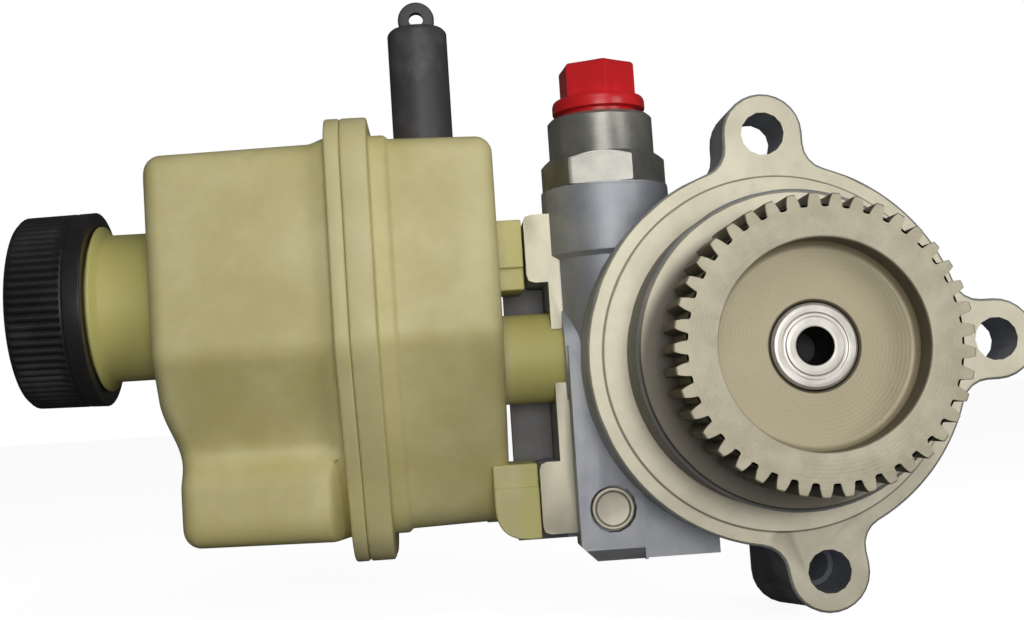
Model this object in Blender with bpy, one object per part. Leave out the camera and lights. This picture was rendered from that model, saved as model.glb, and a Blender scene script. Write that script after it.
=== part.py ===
"""Gear driven vane pump for power steering, with a moulded fluid reservoir on its side.

The origin is on the drive shaft's axis, in the plane of the mounting flange's front face.
+Z points up along the filler neck, -Y points out of the gear, and +X points along the outlet.
All lengths are metres.
"""

import math

import bmesh
import bpy
from mathutils import Matrix

# General fits
SEAT_GAP = 0.0003
RUNNING_GAP = 0.00015
OVERSHOOT = 0.004
JOIN_DEPTH = 0.001
EDGE_BREAK = 0.0006
SMALL_BREAK = 0.0005
TIP_BREAK = 0.0002
PLASTIC_EDGE = 0.0007
WELD_DISTANCE = 2e-6

# Mounting flange and its three ears
FLANGE_LEDGE = 0.0022
FLANGE_THICKNESS = 0.016
FLANGE_CHAMFER = 0.0006
PILOT_INSET = 0.0040
PILOT_RISE = 0.0008
EAR_REACH = 0.0068
EAR_RADIUS = 0.0098
EAR_HOLE_RADIUS = 0.00525
EAR_FILLET = 0.0065
EAR_ANGLES = (0.0, 90.0, 171.5)

# Long lug behind the third ear, which its bolt hole goes through
REAR_LUG_END = 0.044
REAR_LUG_LEAN = 0.0036
REAR_LUG_RADIUS = 0.0095
REAR_LUG_CHAMFER = 0.001
REAR_LUG_ROOT = 0.006
REAR_LUG_HOLE_RADIUS = 0.0043

# Front boss, with the bearing and the shaft seal inside
BOSS_INSET = 0.0054
BOSS_LENGTH = 0.017
BOSS_CHAMFER = 0.0010
BEARING_OUTER_RADIUS = 0.0235
BEARING_BORE_RADIUS = 0.0103
BEARING_WIDTH = 0.014
BEARING_RECESS = 0.0031
BALL_SHARE = 0.288
CAGE_OFFSET = 0.0009
CAGE_SETBACK = 0.0012
RACE_SHOULDER_SHARE = 0.684
BALL_COUNT = 8
RING_THICKNESS = 0.0014
RING_GROOVE_DEPTH = 0.0015
RING_WIDTH = 0.0029
RING_OPENING = 34.0
SEAL_OUTER_RADIUS = 0.0172
SEAL_MOUTH = 0.0015
SEAL_CASE_WALL = 0.002
SEAL_LIP_ROOT = 0.0022
SEAL_LIP_THICKNESS = 0.0012
SEAL_WIDTH = 0.007

# Drive gear
GEAR_TEETH = 41
GEAR_MODULE = 0.0015
GEAR_PRESSURE_ANGLE = 20.0
GEAR_WIDTH = 0.0157
GEAR_STANDOFF = 0.024
GEAR_RECESS_RADIUS = 0.0227
GEAR_RECESS_FLOOR_RADIUS = 0.0211
GEAR_RECESS_EDGE = 0.0004
GEAR_RECESS_DEPTH = 0.0086
GEAR_HUB_WALL = 0.003

# Drive shaft
SHAFT_GEAR_STEP = 0.0005
SHAFT_SEAL_STEP = 0.001
SHAFT_FRONT_STEP = 0.0004
SHAFT_STEP = 0.001
SHAFT_PROUD = 0.0004
SHAFT_HOLE_TIP = 0.002
SHAFT_ROTOR_STEP = 0.001
SHAFT_REAR_STEP = 0.001
SHAFT_REAR_REACH = 0.001
SHAFT_CHAMFER = 0.0012
SHAFT_HOLE_RADIUS = 0.00395
SHAFT_HOLE_DEPTH = 0.014
SHAFT_FACE_MARGIN = 0.0021
SHAFT_STEP_DEPTH = 0.0003

# Pumping group behind the flange
CARTRIDGE_RADIUS = 0.0307
HOUSING_WALL = 0.013
FRONT_WALL = 0.0183
FRONT_PLATE_THICKNESS = 0.0057
CAM_RING_WIDTH = 0.016
CAM_RING_WALL = 0.0118
CAM_RING_LIFT = 0.0022
REAR_PLATE_THICKNESS = 0.005
ROTOR_TIP_GAP = 0.0004
ROTOR_SIDE_GAP = 0.0002
VANE_COUNT = 10
VANE_GAP = 0.0001
VANE_TIP_DROP = 0.0003
PLATE_CLEARANCE = 0.0006
VANE_THICKNESS = 0.0014
VANE_DRAWN_IN = 0.0002
VANE_ROOT_WALL = 0.0042
DOWEL_RADIUS = 0.002
DOWEL_DEPTH = 0.004
DOWEL_INSET = 0.0045
BUSH_WALL = 0.002
BUSH_SETBACK = 0.0015
FRONT_BUSH_LENGTH = 0.013
REAR_BUSH_LENGTH = 0.0095
KIDNEY_INSET = 0.002
KIDNEY_WIDTH = 0.0035
KIDNEY_ANGLE = 42.0

# Rear cover and its bolts
COVER_RIM_THICKNESS = 0.009
COVER_HUB_FOOT = 0.0025
COVER_HUB_DRAFT = 0.001
COVER_POCKET_DEPTH = 0.0015
COVER_HUB_RADIUS = 0.021
COVER_HUB_LENGTH = 0.0155
COVER_CHAMFER = 0.0015
COVER_BOLT_INSET = 0.0048
COVER_BOLT_RADIUS = 0.003
COVER_BOLT_DEPTH = 0.012
COVER_BOLT_ANGLES = (45.0, 135.0, 225.0, 315.0)
BOLT_HEAD_FLATS = 0.010
BOLT_HEAD_HEIGHT = 0.005
BOLT_WASHER_RADIUS = 0.0064
BOLT_WASHER_THICKNESS = 0.0012
COVER_SEAL_OFFSET = 0.0025
COVER_SEAL_WIRE = 0.0009

# Lower block of the housing, with the round plug on its front
BLOCK_OFFSET = 0.0135
BLOCK_RIGHT = 0.014
BLOCK_TUCK = 0.0004
BLOCK_DROP = 0.0043
BLOCK_CORNER = 0.004
BLOCK_DEPTH = 0.011
BLOCK_REAR_INSET = 0.0038
BLOCK_STEP_INSET = 0.0163
BLOCK_STEP_DEPTH = 0.0035
BLOCK_FRONT_CHAMFER = 0.0028
PLUG_RADIUS = 0.0053
PLUG_GROOVE = 0.0006
PLUG_DEPTH = 0.0032
PLUG_RISE = 0.0004
PLUG_RIM = 0.0009
PLUG_RIM_FOOT = 0.0012
PLUG_DISH = 0.0005
PLUG_RAISED = 0.0129
PLUG_INSET = 0.0084

# Valve column, along +X
COLUMN_Y = 0.030
COLUMN_WEB_MARGIN = 0.001
COLUMN_WEB_SETBACK = 0.006
COLUMN_WEB_ROOT = 0.004
COLUMN_WEB_REACH = 0.008
COLUMN_OFFSET = 0.0045
COLUMN_UPPER_RADIUS = 0.0165
COLUMN_LOWER_RADIUS = 0.0147
COLUMN_TOP = 0.046
COLUMN_STEP = 0.029
COLUMN_FOOT = 0.005
COLUMN_FILLET = 0.0012
VALVE_BORE_RADIUS = 0.008
VALVE_BORE_FLOOR = 0.0175
SPOOL_CLEARANCE = 0.0003
SPOOL_LENGTH = 0.0095
SPOOL_GROOVE_DEPTH = 0.0012
SPOOL_WALL = 0.0027
SPOOL_RECESS_DEPTH = 0.0038
SPRING_INSET = 0.0012
SPRING_WIRE_RADIUS = 0.0006
SPRING_TURNS = 4.5

# Outlet union and the plug in its port
UNION_SPIGOT_WALL = 0.0048
UNION_SPIGOT_LENGTH = 0.0102
UNION_HEX_FLATS = 0.028
UNION_HEX_HEIGHT = 0.0081
UNION_HEX_TURN = 21.0
UNION_HEX_CHAMFER = 0.0016
UNION_COLLAR_WALL = 0.00615
UNION_COLLAR_LENGTH = 0.0105
UNION_COLLAR_CHAMFER = 0.0009
UNION_BORE_RADIUS = 0.005
UNION_PORT_RADIUS = 0.0075
UNION_PORT_DEPTH = 0.0085
UNION_SEAL_WIRE = 0.0009
PORT_PLUG_FLANGE_INSET = 0.00155
PORT_PLUG_SHOULDER_RADIUS = 0.0100
PORT_PLUG_SHOULDER_HEIGHT = 0.0012
PORT_PLUG_FLANGE_HEIGHT = 0.0037
PORT_PLUG_HEX_FLATS = 0.018
PORT_PLUG_HEX_HEIGHT = 0.0088
PORT_PLUG_HEX_TURN = 5.5
PORT_PLUG_SPIGOT_LENGTH = 0.0078

# Reservoir bracket on the housing: two pads, the rail between them and the web behind
BRACKET_FRONT = 0.024
BRACKET_WEB_FRONT = 0.047
BRACKET_WEB_BACK = 0.051
BRACKET_WEB_FOOT = -0.0445
RAIL_WIDTH = 0.0032
PAD_WIDTH = 0.0054
WEB_WIDTH = 0.0052
PAD_ROOT = 0.005
UPPER_PAD = (0.0225, 0.0400)
LOWER_PAD = (-0.0413, -0.0232)
PAD_ROUNDING = 0.002
RESERVOIR_BOLT_INSET = 0.0046
RESERVOIR_BOLT_RADIUS = 0.003
RESERVOIR_BOLT_DEPTH = 0.014

# Suction port in the housing and the reservoir tube that plugs into it
SUCTION_X = 0.0035
SUCTION_Y = 0.034
SUCTION_TUBE_RADIUS = 0.0116
SUCTION_TUBE_WALL = 0.0031
SUCTION_PORT_DEPTH = 0.0085
SUCTION_PORT_CLEARANCE = 0.0006
SUCTION_BOSS_WALL = 0.003
SUCTION_BOSS_ROOT = 0.010
SUCTION_BOSS_RISE = 0.0004
SUCTION_PASSAGE_STEP = 0.0025
SUCTION_SEAL_WIRE = 0.0009
SUCTION_SEAL_FROM_END = 0.003
SUCTION_GROOVE_DEPTH = 0.0012

# Reservoir: corners of its cross-section as (x, y), from the top front corner round the front
LOWER_CORNERS = (
    (0.0603, 0.006),
    (0.0090, 0.006),
    (-0.0163, 0.0193),
    (-0.0225, 0.0226),
    (-0.0396, 0.0316),
    (-0.0396, 0.064),
    (0.0603, 0.064),
)
UPPER_CORNERS = (
    (0.0592, 0.006),
    (0.0080, 0.006),
    (-0.0163, 0.0210),
    (-0.0215, 0.0160),
    (-0.0396, 0.0160),
    (-0.0396, 0.064),
    (0.0592, 0.064),
)
CORNER_CUTS = (0.008, 0.010, 0.0036, 0.0032, 0.008, 0.008, 0.008)
BACK_POINTS = (-0.018, -0.012, -0.007, -0.002, 0.004, 0.020, 0.036)
RESERVOIR_WALL = 0.0025
WELD_RIM = 0.0046
WELD_RIM_DROP = 0.0020
WELD_DROP_FROM = -0.022
WELD_DROP_TO = -0.034
WELD_UPPER_THICKNESS = 0.0038
WELD_LOWER_THICKNESS = 0.0066
WELD_EDGE = 0.0007
RESERVOIR_END_ROUNDING = 0.0042
RESERVOIR_OFFSET = 0.0022
LOWER_HALF_LENGTH = 0.037
UPPER_HALF_LENGTH = 0.0483
RESERVOIR_TOP_DROP = 0.0037
RESERVOIR_DROP_FROM = -0.002
RESERVOIR_DROP_TO = -0.019
UPPER_BLEND_LENGTH = 0.0045
UPPER_DRAFT = 0.0009
BLEND_DRAFT = 0.0002
LOWER_DRAFT = 0.0005
LOWER_STEP_FROM_WELD = 0.0105
LOWER_STEP = 0.0010

# Lugs of the reservoir, on both sides of the bracket's web
LUG_FRONT = 0.0245
LUG_ROOT_DEPTH = 0.006
UPPER_LUG = (0.0210, 0.0390)
UPPER_LUG_STEP_AT = 0.0266
LOWER_LUG = (-0.0420, -0.0232)
LOWER_LUG_STEP_AT = -0.0289
LUG_STEP = 0.0012
LUG_CORNER = 0.001
LOWER_LUG_FRONT = 0.021
LOWER_LUG_REACH = 0.0045
LOWER_LUG_ROUNDING = 0.0085
TONGUE_THICKNESS = 0.005
TONGUE_REACH = 0.0055
TONGUE_MARGIN = 0.0025

# Filler neck and screw cap, along +Z
NECK_X = 0.0233
NECK_Y = 0.035
NECK_BORE_RADIUS = 0.016
NECK_WALL = 0.003
NECK_THREAD_RISE = 0.0002
NECK_COLLAR_RISE = 0.0023
NECK_LENGTH = 0.0135
NECK_COLLAR_HEIGHT = 0.0024
NECK_COLLAR_EDGE = 0.0008
NECK_THREAD_LENGTH = 0.0133
CAP_WALL = 0.0048
CAP_DRAFT = 0.0004
CAP_THREAD_GAP = 0.001
CAP_SKIRT_GAP = 0.0005
CAP_BAND_HEIGHT = 0.0048
CAP_TOP_THICKNESS = 0.0040
CAP_EDGE = 0.0013
CAP_RIB_COUNT = 36
CAP_RIB_DEPTH = 0.0009
GASKET_THICKNESS = 0.0012
GASKET_OVERHANG = 0.0005

# Return nipple on the reservoir and its rubber cap, along +X
NIPPLE_Y = 0.035
NIPPLE_FROM_WELD = 0.0202
NIPPLE_BORE_RADIUS = 0.004
NIPPLE_WALL = 0.002
NIPPLE_LENGTH = 0.0274
RUBBER_WALL = 0.00185
RUBBER_FOOT_GAP = 0.0006
RUBBER_LENGTH = 0.0326
RUBBER_TOP_THICKNESS = 0.0048
RUBBER_EDGE = 0.0012
LOOP_OFFSET = 0.0026
LOOP_RADIUS = 0.0048
LOOP_HOLE_RADIUS = 0.0019
LOOP_THICKNESS = 0.0032

# Facets round a full turn
FINE_COUNT = 44
ROUND_COUNT = 28
INNER_COUNT = 24
SMALL_COUNT = 14
TINY_COUNT = 8
END_STEPS = 2

# Radii and places that follow from the sizes above
BALL_RADIUS = (BEARING_OUTER_RADIUS - BEARING_BORE_RADIUS) * BALL_SHARE
BALL_CIRCLE_RADIUS = (BEARING_OUTER_RADIUS + BEARING_BORE_RADIUS) / 2
SHAFT_BEARING_RADIUS = BEARING_BORE_RADIUS - SEAT_GAP
SHAFT_GEAR_RADIUS = SHAFT_BEARING_RADIUS - SHAFT_GEAR_STEP
SHAFT_SEAL_RADIUS = SHAFT_BEARING_RADIUS - SHAFT_SEAL_STEP
SHAFT_FRONT_JOURNAL_RADIUS = SHAFT_SEAL_RADIUS - SHAFT_FRONT_STEP
SHAFT_ROTOR_RADIUS = SHAFT_FRONT_JOURNAL_RADIUS - SHAFT_ROTOR_STEP
SHAFT_REAR_JOURNAL_RADIUS = SHAFT_ROTOR_RADIUS - SHAFT_REAR_STEP
SHAFT_FACE_RADIUS = SHAFT_GEAR_RADIUS - SHAFT_FACE_MARGIN
GEAR_HUB_RADIUS = SHAFT_GEAR_RADIUS + GEAR_HUB_WALL
GEAR_FRONT = -GEAR_STANDOFF - GEAR_WIDTH
GEAR_FLOOR = GEAR_FRONT + GEAR_RECESS_DEPTH
SHAFT_FRONT = GEAR_FLOOR - SHAFT_PROUD
BEARING_FRONT = -BOSS_LENGTH + BEARING_RECESS
BEARING_BACK = BEARING_FRONT + BEARING_WIDTH
BEARING_MIDDLE = (BEARING_FRONT + BEARING_BACK) / 2
BEARING_SEAT = BEARING_BACK + SEAT_GAP
SEAL_FRONT = BEARING_SEAT + SEAT_GAP
SEAL_SEAT = SEAL_FRONT + SEAL_WIDTH + SEAT_GAP

CARTRIDGE_BORE_RADIUS = CARTRIDGE_RADIUS + SEAT_GAP
CAM_RING_SMALL_RADIUS = CARTRIDGE_RADIUS - CAM_RING_WALL
ROTOR_RADIUS = CAM_RING_SMALL_RADIUS - ROTOR_TIP_GAP
VANE_TIP_RADIUS = ROTOR_RADIUS - VANE_DRAWN_IN
VANE_LENGTH = VANE_TIP_RADIUS - SHAFT_ROTOR_RADIUS - VANE_ROOT_WALL
KIDNEY_RADIUS = ROTOR_RADIUS - KIDNEY_INSET
DOWEL_CIRCLE_RADIUS = CARTRIDGE_RADIUS - DOWEL_INSET
FRONT_PLATE_START = SEAL_SEAT + FRONT_WALL
CARTRIDGE_SEAT = FRONT_PLATE_START - SEAT_GAP
CAM_RING_START = FRONT_PLATE_START + FRONT_PLATE_THICKNESS + SEAT_GAP
CAM_RING_END = CAM_RING_START + CAM_RING_WIDTH
REAR_PLATE_START = CAM_RING_END + SEAT_GAP
REAR_PLATE_END = REAR_PLATE_START + REAR_PLATE_THICKNESS
HOUSING_END = REAR_PLATE_END + SEAT_GAP
COVER_START = HOUSING_END + SEAT_GAP
FRONT_BUSH_END = CARTRIDGE_SEAT - BUSH_SETBACK
FRONT_BUSH_START = FRONT_BUSH_END - FRONT_BUSH_LENGTH
REAR_BUSH_START = COVER_START + EDGE_BREAK
REAR_BUSH_END = REAR_BUSH_START + REAR_BUSH_LENGTH
SHAFT_REAR_END = REAR_BUSH_END + SHAFT_REAR_REACH

HOUSING_RADIUS = CARTRIDGE_BORE_RADIUS + HOUSING_WALL
FLANGE_RADIUS = HOUSING_RADIUS + FLANGE_LEDGE
PILOT_RADIUS = FLANGE_RADIUS - PILOT_INSET
BOSS_RADIUS = PILOT_RADIUS - BOSS_INSET
EAR_CIRCLE_RADIUS = FLANGE_RADIUS + EAR_REACH
COVER_BOLT_CIRCLE = HOUSING_RADIUS - COVER_BOLT_INSET
COVER_SEAL_RADIUS = CARTRIDGE_RADIUS + COVER_SEAL_OFFSET
COLUMN_Z = CARTRIDGE_BORE_RADIUS + COLUMN_OFFSET
BLOCK_LEFT = COLUMN_Z + BLOCK_OFFSET
BLOCK_BOTTOM = -HOUSING_RADIUS - BLOCK_DROP
BLOCK_STEP_AT = BLOCK_LEFT - BLOCK_STEP_INSET
PLUG_X = BLOCK_BOTTOM + PLUG_RAISED
PLUG_Z = BLOCK_LEFT - PLUG_INSET

UNION_SPIGOT_RADIUS = UNION_BORE_RADIUS + UNION_SPIGOT_WALL
UNION_COLLAR_RADIUS = UNION_PORT_RADIUS + UNION_COLLAR_WALL
PORT_PLUG_FLANGE_RADIUS = UNION_COLLAR_RADIUS - PORT_PLUG_FLANGE_INSET
UNION_HEX_START = COLUMN_TOP + SEAT_GAP
UNION_HEX_END = UNION_HEX_START + UNION_HEX_HEIGHT
UNION_END = UNION_HEX_END + UNION_COLLAR_LENGTH
SPIGOT_END = UNION_HEX_START - UNION_SPIGOT_LENGTH
SPIGOT_BORE_RADIUS = UNION_SPIGOT_RADIUS + SEAT_GAP
SPOOL_TOP = SPIGOT_END - SEAT_GAP
SPOOL_FOOT = SPOOL_TOP - SPOOL_LENGTH
SPOOL_RECESS_RADIUS = VALVE_BORE_RADIUS - SPOOL_WALL
SPRING_RADIUS = SPOOL_RECESS_RADIUS - SPRING_INSET
PORT_PLUG_START = UNION_END + SEAT_GAP

RAIL_LEFT = BLOCK_LEFT + RAIL_WIDTH
PAD_LEFT = RAIL_LEFT + PAD_WIDTH
PAD_INNER = BLOCK_LEFT - PAD_ROOT
WEB_LEFT = PAD_LEFT + WEB_WIDTH
RESERVOIR_BOLT_Z = PAD_LEFT - RESERVOIR_BOLT_INSET
TONGUE_END = RESERVOIR_BOLT_Z - TONGUE_REACH
TONGUE_START = BRACKET_WEB_BACK + SEAT_GAP
TONGUE_BACK = TONGUE_START + TONGUE_THICKNESS
SUCTION_TUBE_BORE_RADIUS = SUCTION_TUBE_RADIUS - SUCTION_TUBE_WALL
SUCTION_PASSAGE_RADIUS = SUCTION_TUBE_BORE_RADIUS - SUCTION_PASSAGE_STEP
SUCTION_BORE_RADIUS = SUCTION_TUBE_RADIUS + SUCTION_PORT_CLEARANCE
SUCTION_PORT_FLOOR = BLOCK_LEFT - SUCTION_PORT_DEPTH
SUCTION_TUBE_END = SUCTION_PORT_FLOOR + SEAT_GAP

RESERVOIR_BOTTOM = WEB_LEFT + RESERVOIR_OFFSET
WELD_Z = RESERVOIR_BOTTOM + LOWER_HALF_LENGTH
RESERVOIR_TOP = WELD_Z + UPPER_HALF_LENGTH
LOWER_STEP_Z = WELD_Z - LOWER_STEP_FROM_WELD
LUG_ROOT = RESERVOIR_BOTTOM + LUG_ROOT_DEPTH
LOWER_LUG_LEFT = RESERVOIR_BOTTOM + LOWER_LUG_REACH
NECK_RADIUS = NECK_BORE_RADIUS + NECK_WALL
NECK_THREAD_RADIUS = NECK_RADIUS + NECK_THREAD_RISE
NECK_COLLAR_RADIUS = NECK_RADIUS + NECK_COLLAR_RISE
NECK_COLLAR_FOOT = RESERVOIR_TOP + NECK_LENGTH
NECK_COLLAR_TOP = NECK_COLLAR_FOOT + NECK_COLLAR_HEIGHT
NECK_END = NECK_COLLAR_TOP + NECK_THREAD_LENGTH
CAP_INNER_RADIUS = NECK_THREAD_RADIUS + CAP_THREAD_GAP
CAP_RADIUS = CAP_INNER_RADIUS + CAP_WALL
GASKET_INNER_RADIUS = NECK_BORE_RADIUS - GASKET_OVERHANG
CAP_FOOT = NECK_COLLAR_TOP + CAP_SKIRT_GAP
GASKET_START = NECK_END + SEAT_GAP
CAP_CEILING = GASKET_START + GASKET_THICKNESS + SEAT_GAP
CAP_TOP = CAP_CEILING + CAP_TOP_THICKNESS

NIPPLE_RADIUS = NIPPLE_BORE_RADIUS + NIPPLE_WALL
RUBBER_RADIUS = NIPPLE_RADIUS + RUBBER_WALL
NIPPLE_Z = WELD_Z - NIPPLE_FROM_WELD
NIPPLE_FOOT = LOWER_CORNERS[0][0] - LOWER_STEP
NIPPLE_END = NIPPLE_FOOT + NIPPLE_LENGTH
RUBBER_FOOT = NIPPLE_FOOT + RUBBER_FOOT_GAP
RUBBER_TOP = RUBBER_FOOT + RUBBER_LENGTH
LOOP_CENTRE = RUBBER_TOP + LOOP_OFFSET

# Where an outline's two coordinates and its height go, for a shape along each axis
PLACES = {"X": "YZX", "Y": "XZY", "Z": "XYZ"}

CAST = ((0.60, 0.62, 0.64), 0.45, 0.9)
STEEL = ((0.55, 0.54, 0.51), 0.35, 1.0)
BRIGHT_STEEL = ((0.78, 0.77, 0.74), 0.25, 1.0)
BRONZE = ((0.60, 0.40, 0.20), 0.35, 1.0)
RUBBER = ((0.03, 0.03, 0.03), 0.7, 0.0)
RED_PLASTIC = ((0.65, 0.03, 0.04), 0.4, 0.0)
CREAM_PLASTIC = ((0.62, 0.57, 0.36), 0.5, 0.0)
BLACK_PLASTIC = ((0.03, 0.03, 0.032), 0.5, 0.0)


def placed(axis, u, v, height):
    """The point whose outline coordinates are u and v, at a height along the axis."""
    point = [0.0, 0.0, 0.0]
    for place, value in zip(PLACES[axis], (u, v, height)):
        point["XYZ".index(place)] = value
    return tuple(point)


def finish(name, mesh, finish_values, sharp_angle=32.0):
    """Adds an object for the bmesh, closed and facing out, with its own material."""
    bmesh.ops.remove_doubles(mesh, verts=mesh.verts, dist=1e-7)
    bmesh.ops.recalc_face_normals(mesh, faces=mesh.faces)
    data = bpy.data.meshes.new(name)
    mesh.to_mesh(data)
    mesh.free()
    part = bpy.data.objects.new(name, data)
    bpy.context.scene.collection.objects.link(part)
    dress(part, finish_values, sharp_angle)
    return part


def dress(part, finish_values, sharp_angle=32.0):
    """Gives the object a material of its own and smooth shading between its sharp edges."""
    colour, roughness, metallic = finish_values
    material = bpy.data.materials.new(part.name)
    material.use_nodes = True
    shader = material.node_tree.nodes["Principled BSDF"]
    shader.inputs["Base Color"].default_value = (*colour, 1.0)
    shader.inputs["Roughness"].default_value = roughness
    shader.inputs["Metallic"].default_value = metallic
    part.data.materials.clear()
    part.data.materials.append(material)
    part.data.shade_smooth()
    part.data.set_sharp_from_angle(angle=math.radians(sharp_angle))


def stack(name, rings, finish_values=CAST, hollow=False):
    """Joins rings of equally many points in order. A hollow stack ends on its first ring."""
    mesh = bmesh.new()
    rows = [[mesh.verts.new(point) for point in ring] for ring in rings]
    count = len(rows[0])
    for low, high in zip(rows, rows[1:] + rows[:1] * hollow):
        for i in range(count):
            j = (i + 1) % count
            mesh.faces.new((low[i], low[j], high[j], high[i]))
    if not hollow:
        mesh.faces.new(rows[0])
        mesh.faces.new(rows[-1])
    return finish(name, mesh, finish_values)


def circle(radius, count, centre=(0.0, 0.0), start=0.0):
    """Points round a circle, the first at the start angle in degrees."""
    angles = [math.radians(start) + 2 * math.pi * i / count for i in range(count)]
    return [(centre[0] + radius * math.cos(a), centre[1] + radius * math.sin(a)) for a in angles]


def grown(outline, amount):
    """The outline moved outwards by the amount, along the normal of each of its points."""
    area = sum(a[0] * b[1] - b[0] * a[1] for a, b in zip(outline, outline[1:] + outline[:1]))
    side = 1.0 if area > 0 else -1.0
    moved = []
    for i, (x, y) in enumerate(outline):
        before, after = outline[i - 1], outline[(i + 1) % len(outline)]
        ax, ay = unit(x - before[0], y - before[1])
        bx, by = unit(after[0] - x, after[1] - y)
        nx, ny = unit(ay + by, -ax - bx)
        reach = amount * side / max(0.4, nx * ay - ny * ax)
        moved.append((x + nx * reach, y + ny * reach))
    return moved


def unit(x, y):
    """The vector (x, y) made one long."""
    length = math.hypot(x, y)
    return x / length, y / length


def prism(name, outline, axis, levels, finish_values=CAST):
    """A solid along the axis. Each level is a height and how far the outline is drawn in there."""
    rings = []
    for height, inset in levels:
        edge = grown(outline, -inset) if inset else outline
        rings.append([placed(axis, u, v, height) for u, v in edge])
    return stack(name, rings, finish_values)


def box(name, low, high, finish_values=CAST):
    """A plain block between two corners."""
    outline = [(low[0], low[1]), (high[0], low[1]), (high[0], high[1]), (low[0], high[1])]
    return prism(name, outline, "Z", [(low[2], 0), (high[2], 0)], finish_values)


def turned(name, profile, axis, centre=(0.0, 0.0), count=ROUND_COUNT, finish_values=CAST):
    """A profile of (radius, height) points carried once round the axis through the centre."""
    mesh = bmesh.new()
    start = 180.0 / count
    rows = []
    for radius, height in profile:
        if radius == 0:
            rows.append([mesh.verts.new(placed(axis, centre[0], centre[1], height))] * count)
        else:
            points = circle(radius, count, centre, start)
            rows.append([mesh.verts.new(placed(axis, u, v, height)) for u, v in points])
    heights = [height for radius, height in profile]
    for low, high, a, b in zip(rows, rows[1:] + rows[:1], heights, heights[1:] + heights[:1]):
        flat_end = a == b and (low[0] is low[1]) != (high[0] is high[1])
        if flat_end:
            mesh.faces.new(low if high[0] is high[1] else high)
            continue
        for i in range(count):
            j = (i + 1) % count
            corners = list(dict.fromkeys((low[i], low[j], high[j], high[i])))
            if len(corners) > 2:
                mesh.faces.new(corners)
    loose = [vert for vert in mesh.verts if not vert.link_faces]
    bmesh.ops.delete(mesh, geom=loose, context="VERTS")
    return finish(name, mesh, finish_values)


def tube(name, outer, inner, low, high, axis, centre=(0.0, 0.0), count=INNER_COUNT, finish_values=CAST):
    """A plain ring or bush."""
    profile = [(inner, low), (outer, low), (outer, high), (inner, high)]
    return turned(name, profile, axis, centre, count, finish_values)


def rod(name, radius, low, high, axis, centre=(0.0, 0.0), count=ROUND_COUNT, finish_values=CAST):
    """A plain round bar."""
    return turned(name, [(0, low), (radius, low), (radius, high), (0, high)], axis, centre, count,
                  finish_values)


def seal_ring(name, radius, wire, middle, axis, centre, count=INNER_COUNT):
    """A round rubber ring whose section is a circle of six sides."""
    section = circle(wire, 6, (radius, middle))
    return turned(name, section, axis, centre, count, RUBBER)


def combine(part, tool, operation):
    """Joins the tool to the part or cuts it away, and removes the tool."""
    modifier = part.modifiers.new(operation, "BOOLEAN")
    modifier.operation = operation
    modifier.object = tool
    modifier.solver = "EXACT"
    graph = bpy.context.evaluated_depsgraph_get()
    result = bpy.data.meshes.new_from_object(part.evaluated_get(graph))
    result.name = part.name
    part.modifiers.clear()
    part.data = result
    mesh = bmesh.new()
    mesh.from_mesh(result)
    bmesh.ops.remove_doubles(mesh, verts=mesh.verts, dist=WELD_DISTANCE)
    bmesh.ops.dissolve_degenerate(mesh, edges=mesh.edges, dist=WELD_DISTANCE)
    mesh.to_mesh(result)
    mesh.free()
    bpy.data.objects.remove(tool)
    part.data.shade_smooth()
    part.data.set_sharp_from_angle(angle=math.radians(32.0))


def join(part, *tools):
    for tool in tools:
        combine(part, tool, "UNION")


def cut(part, *tools):
    for tool in tools:
        combine(part, tool, "DIFFERENCE")


def trimmed(part, tool):
    combine(part, tool, "INTERSECT")


def hexagon(flats, centre=(0.0, 0.0), turn=0.0):
    """Six corners, with the middle of a flat on the second coordinate's axis when turn is 0."""
    return circle(flats / math.sqrt(3), 6, centre, turn)


def rounded(corners, cuts, steps=3):
    """The polygon with each corner replaced by a curve that starts a cut's length before it."""
    outline = []
    for i, (x, y) in enumerate(corners):
        before, after = corners[i - 1], corners[(i + 1) % len(corners)]
        ax, ay = unit(before[0] - x, before[1] - y)
        bx, by = unit(after[0] - x, after[1] - y)
        if not cuts[i]:
            outline.append((x, y))
            continue
        for k in range(steps + 1):
            s = k / steps
            near, far = cuts[i] * (1 - s) ** 2, cuts[i] * s ** 2
            outline.append((x + ax * near + bx * far, y + ay * near + by * far))
    return outline


def arc(centre, radius, start, end, steps):
    """Points on an arc, angles in radians, both ends included."""
    return [
        (centre[0] + radius * math.cos(start + (end - start) * k / steps),
         centre[1] + radius * math.sin(start + (end - start) * k / steps))
        for k in range(steps + 1)
    ]


def turned_by(points, angle):
    """Outline points turned about the origin by an angle in radians."""
    c, s = math.cos(angle), math.sin(angle)
    return [(u * c - v * s, u * s + v * c) for u, v in points]


def ear_centre(degrees):
    """The (x, z) of an ear's bolt hole, whose angle runs from +X towards -Z."""
    angle = math.radians(-degrees)
    return EAR_CIRCLE_RADIUS * math.cos(angle), EAR_CIRCLE_RADIUS * math.sin(angle)


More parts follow.
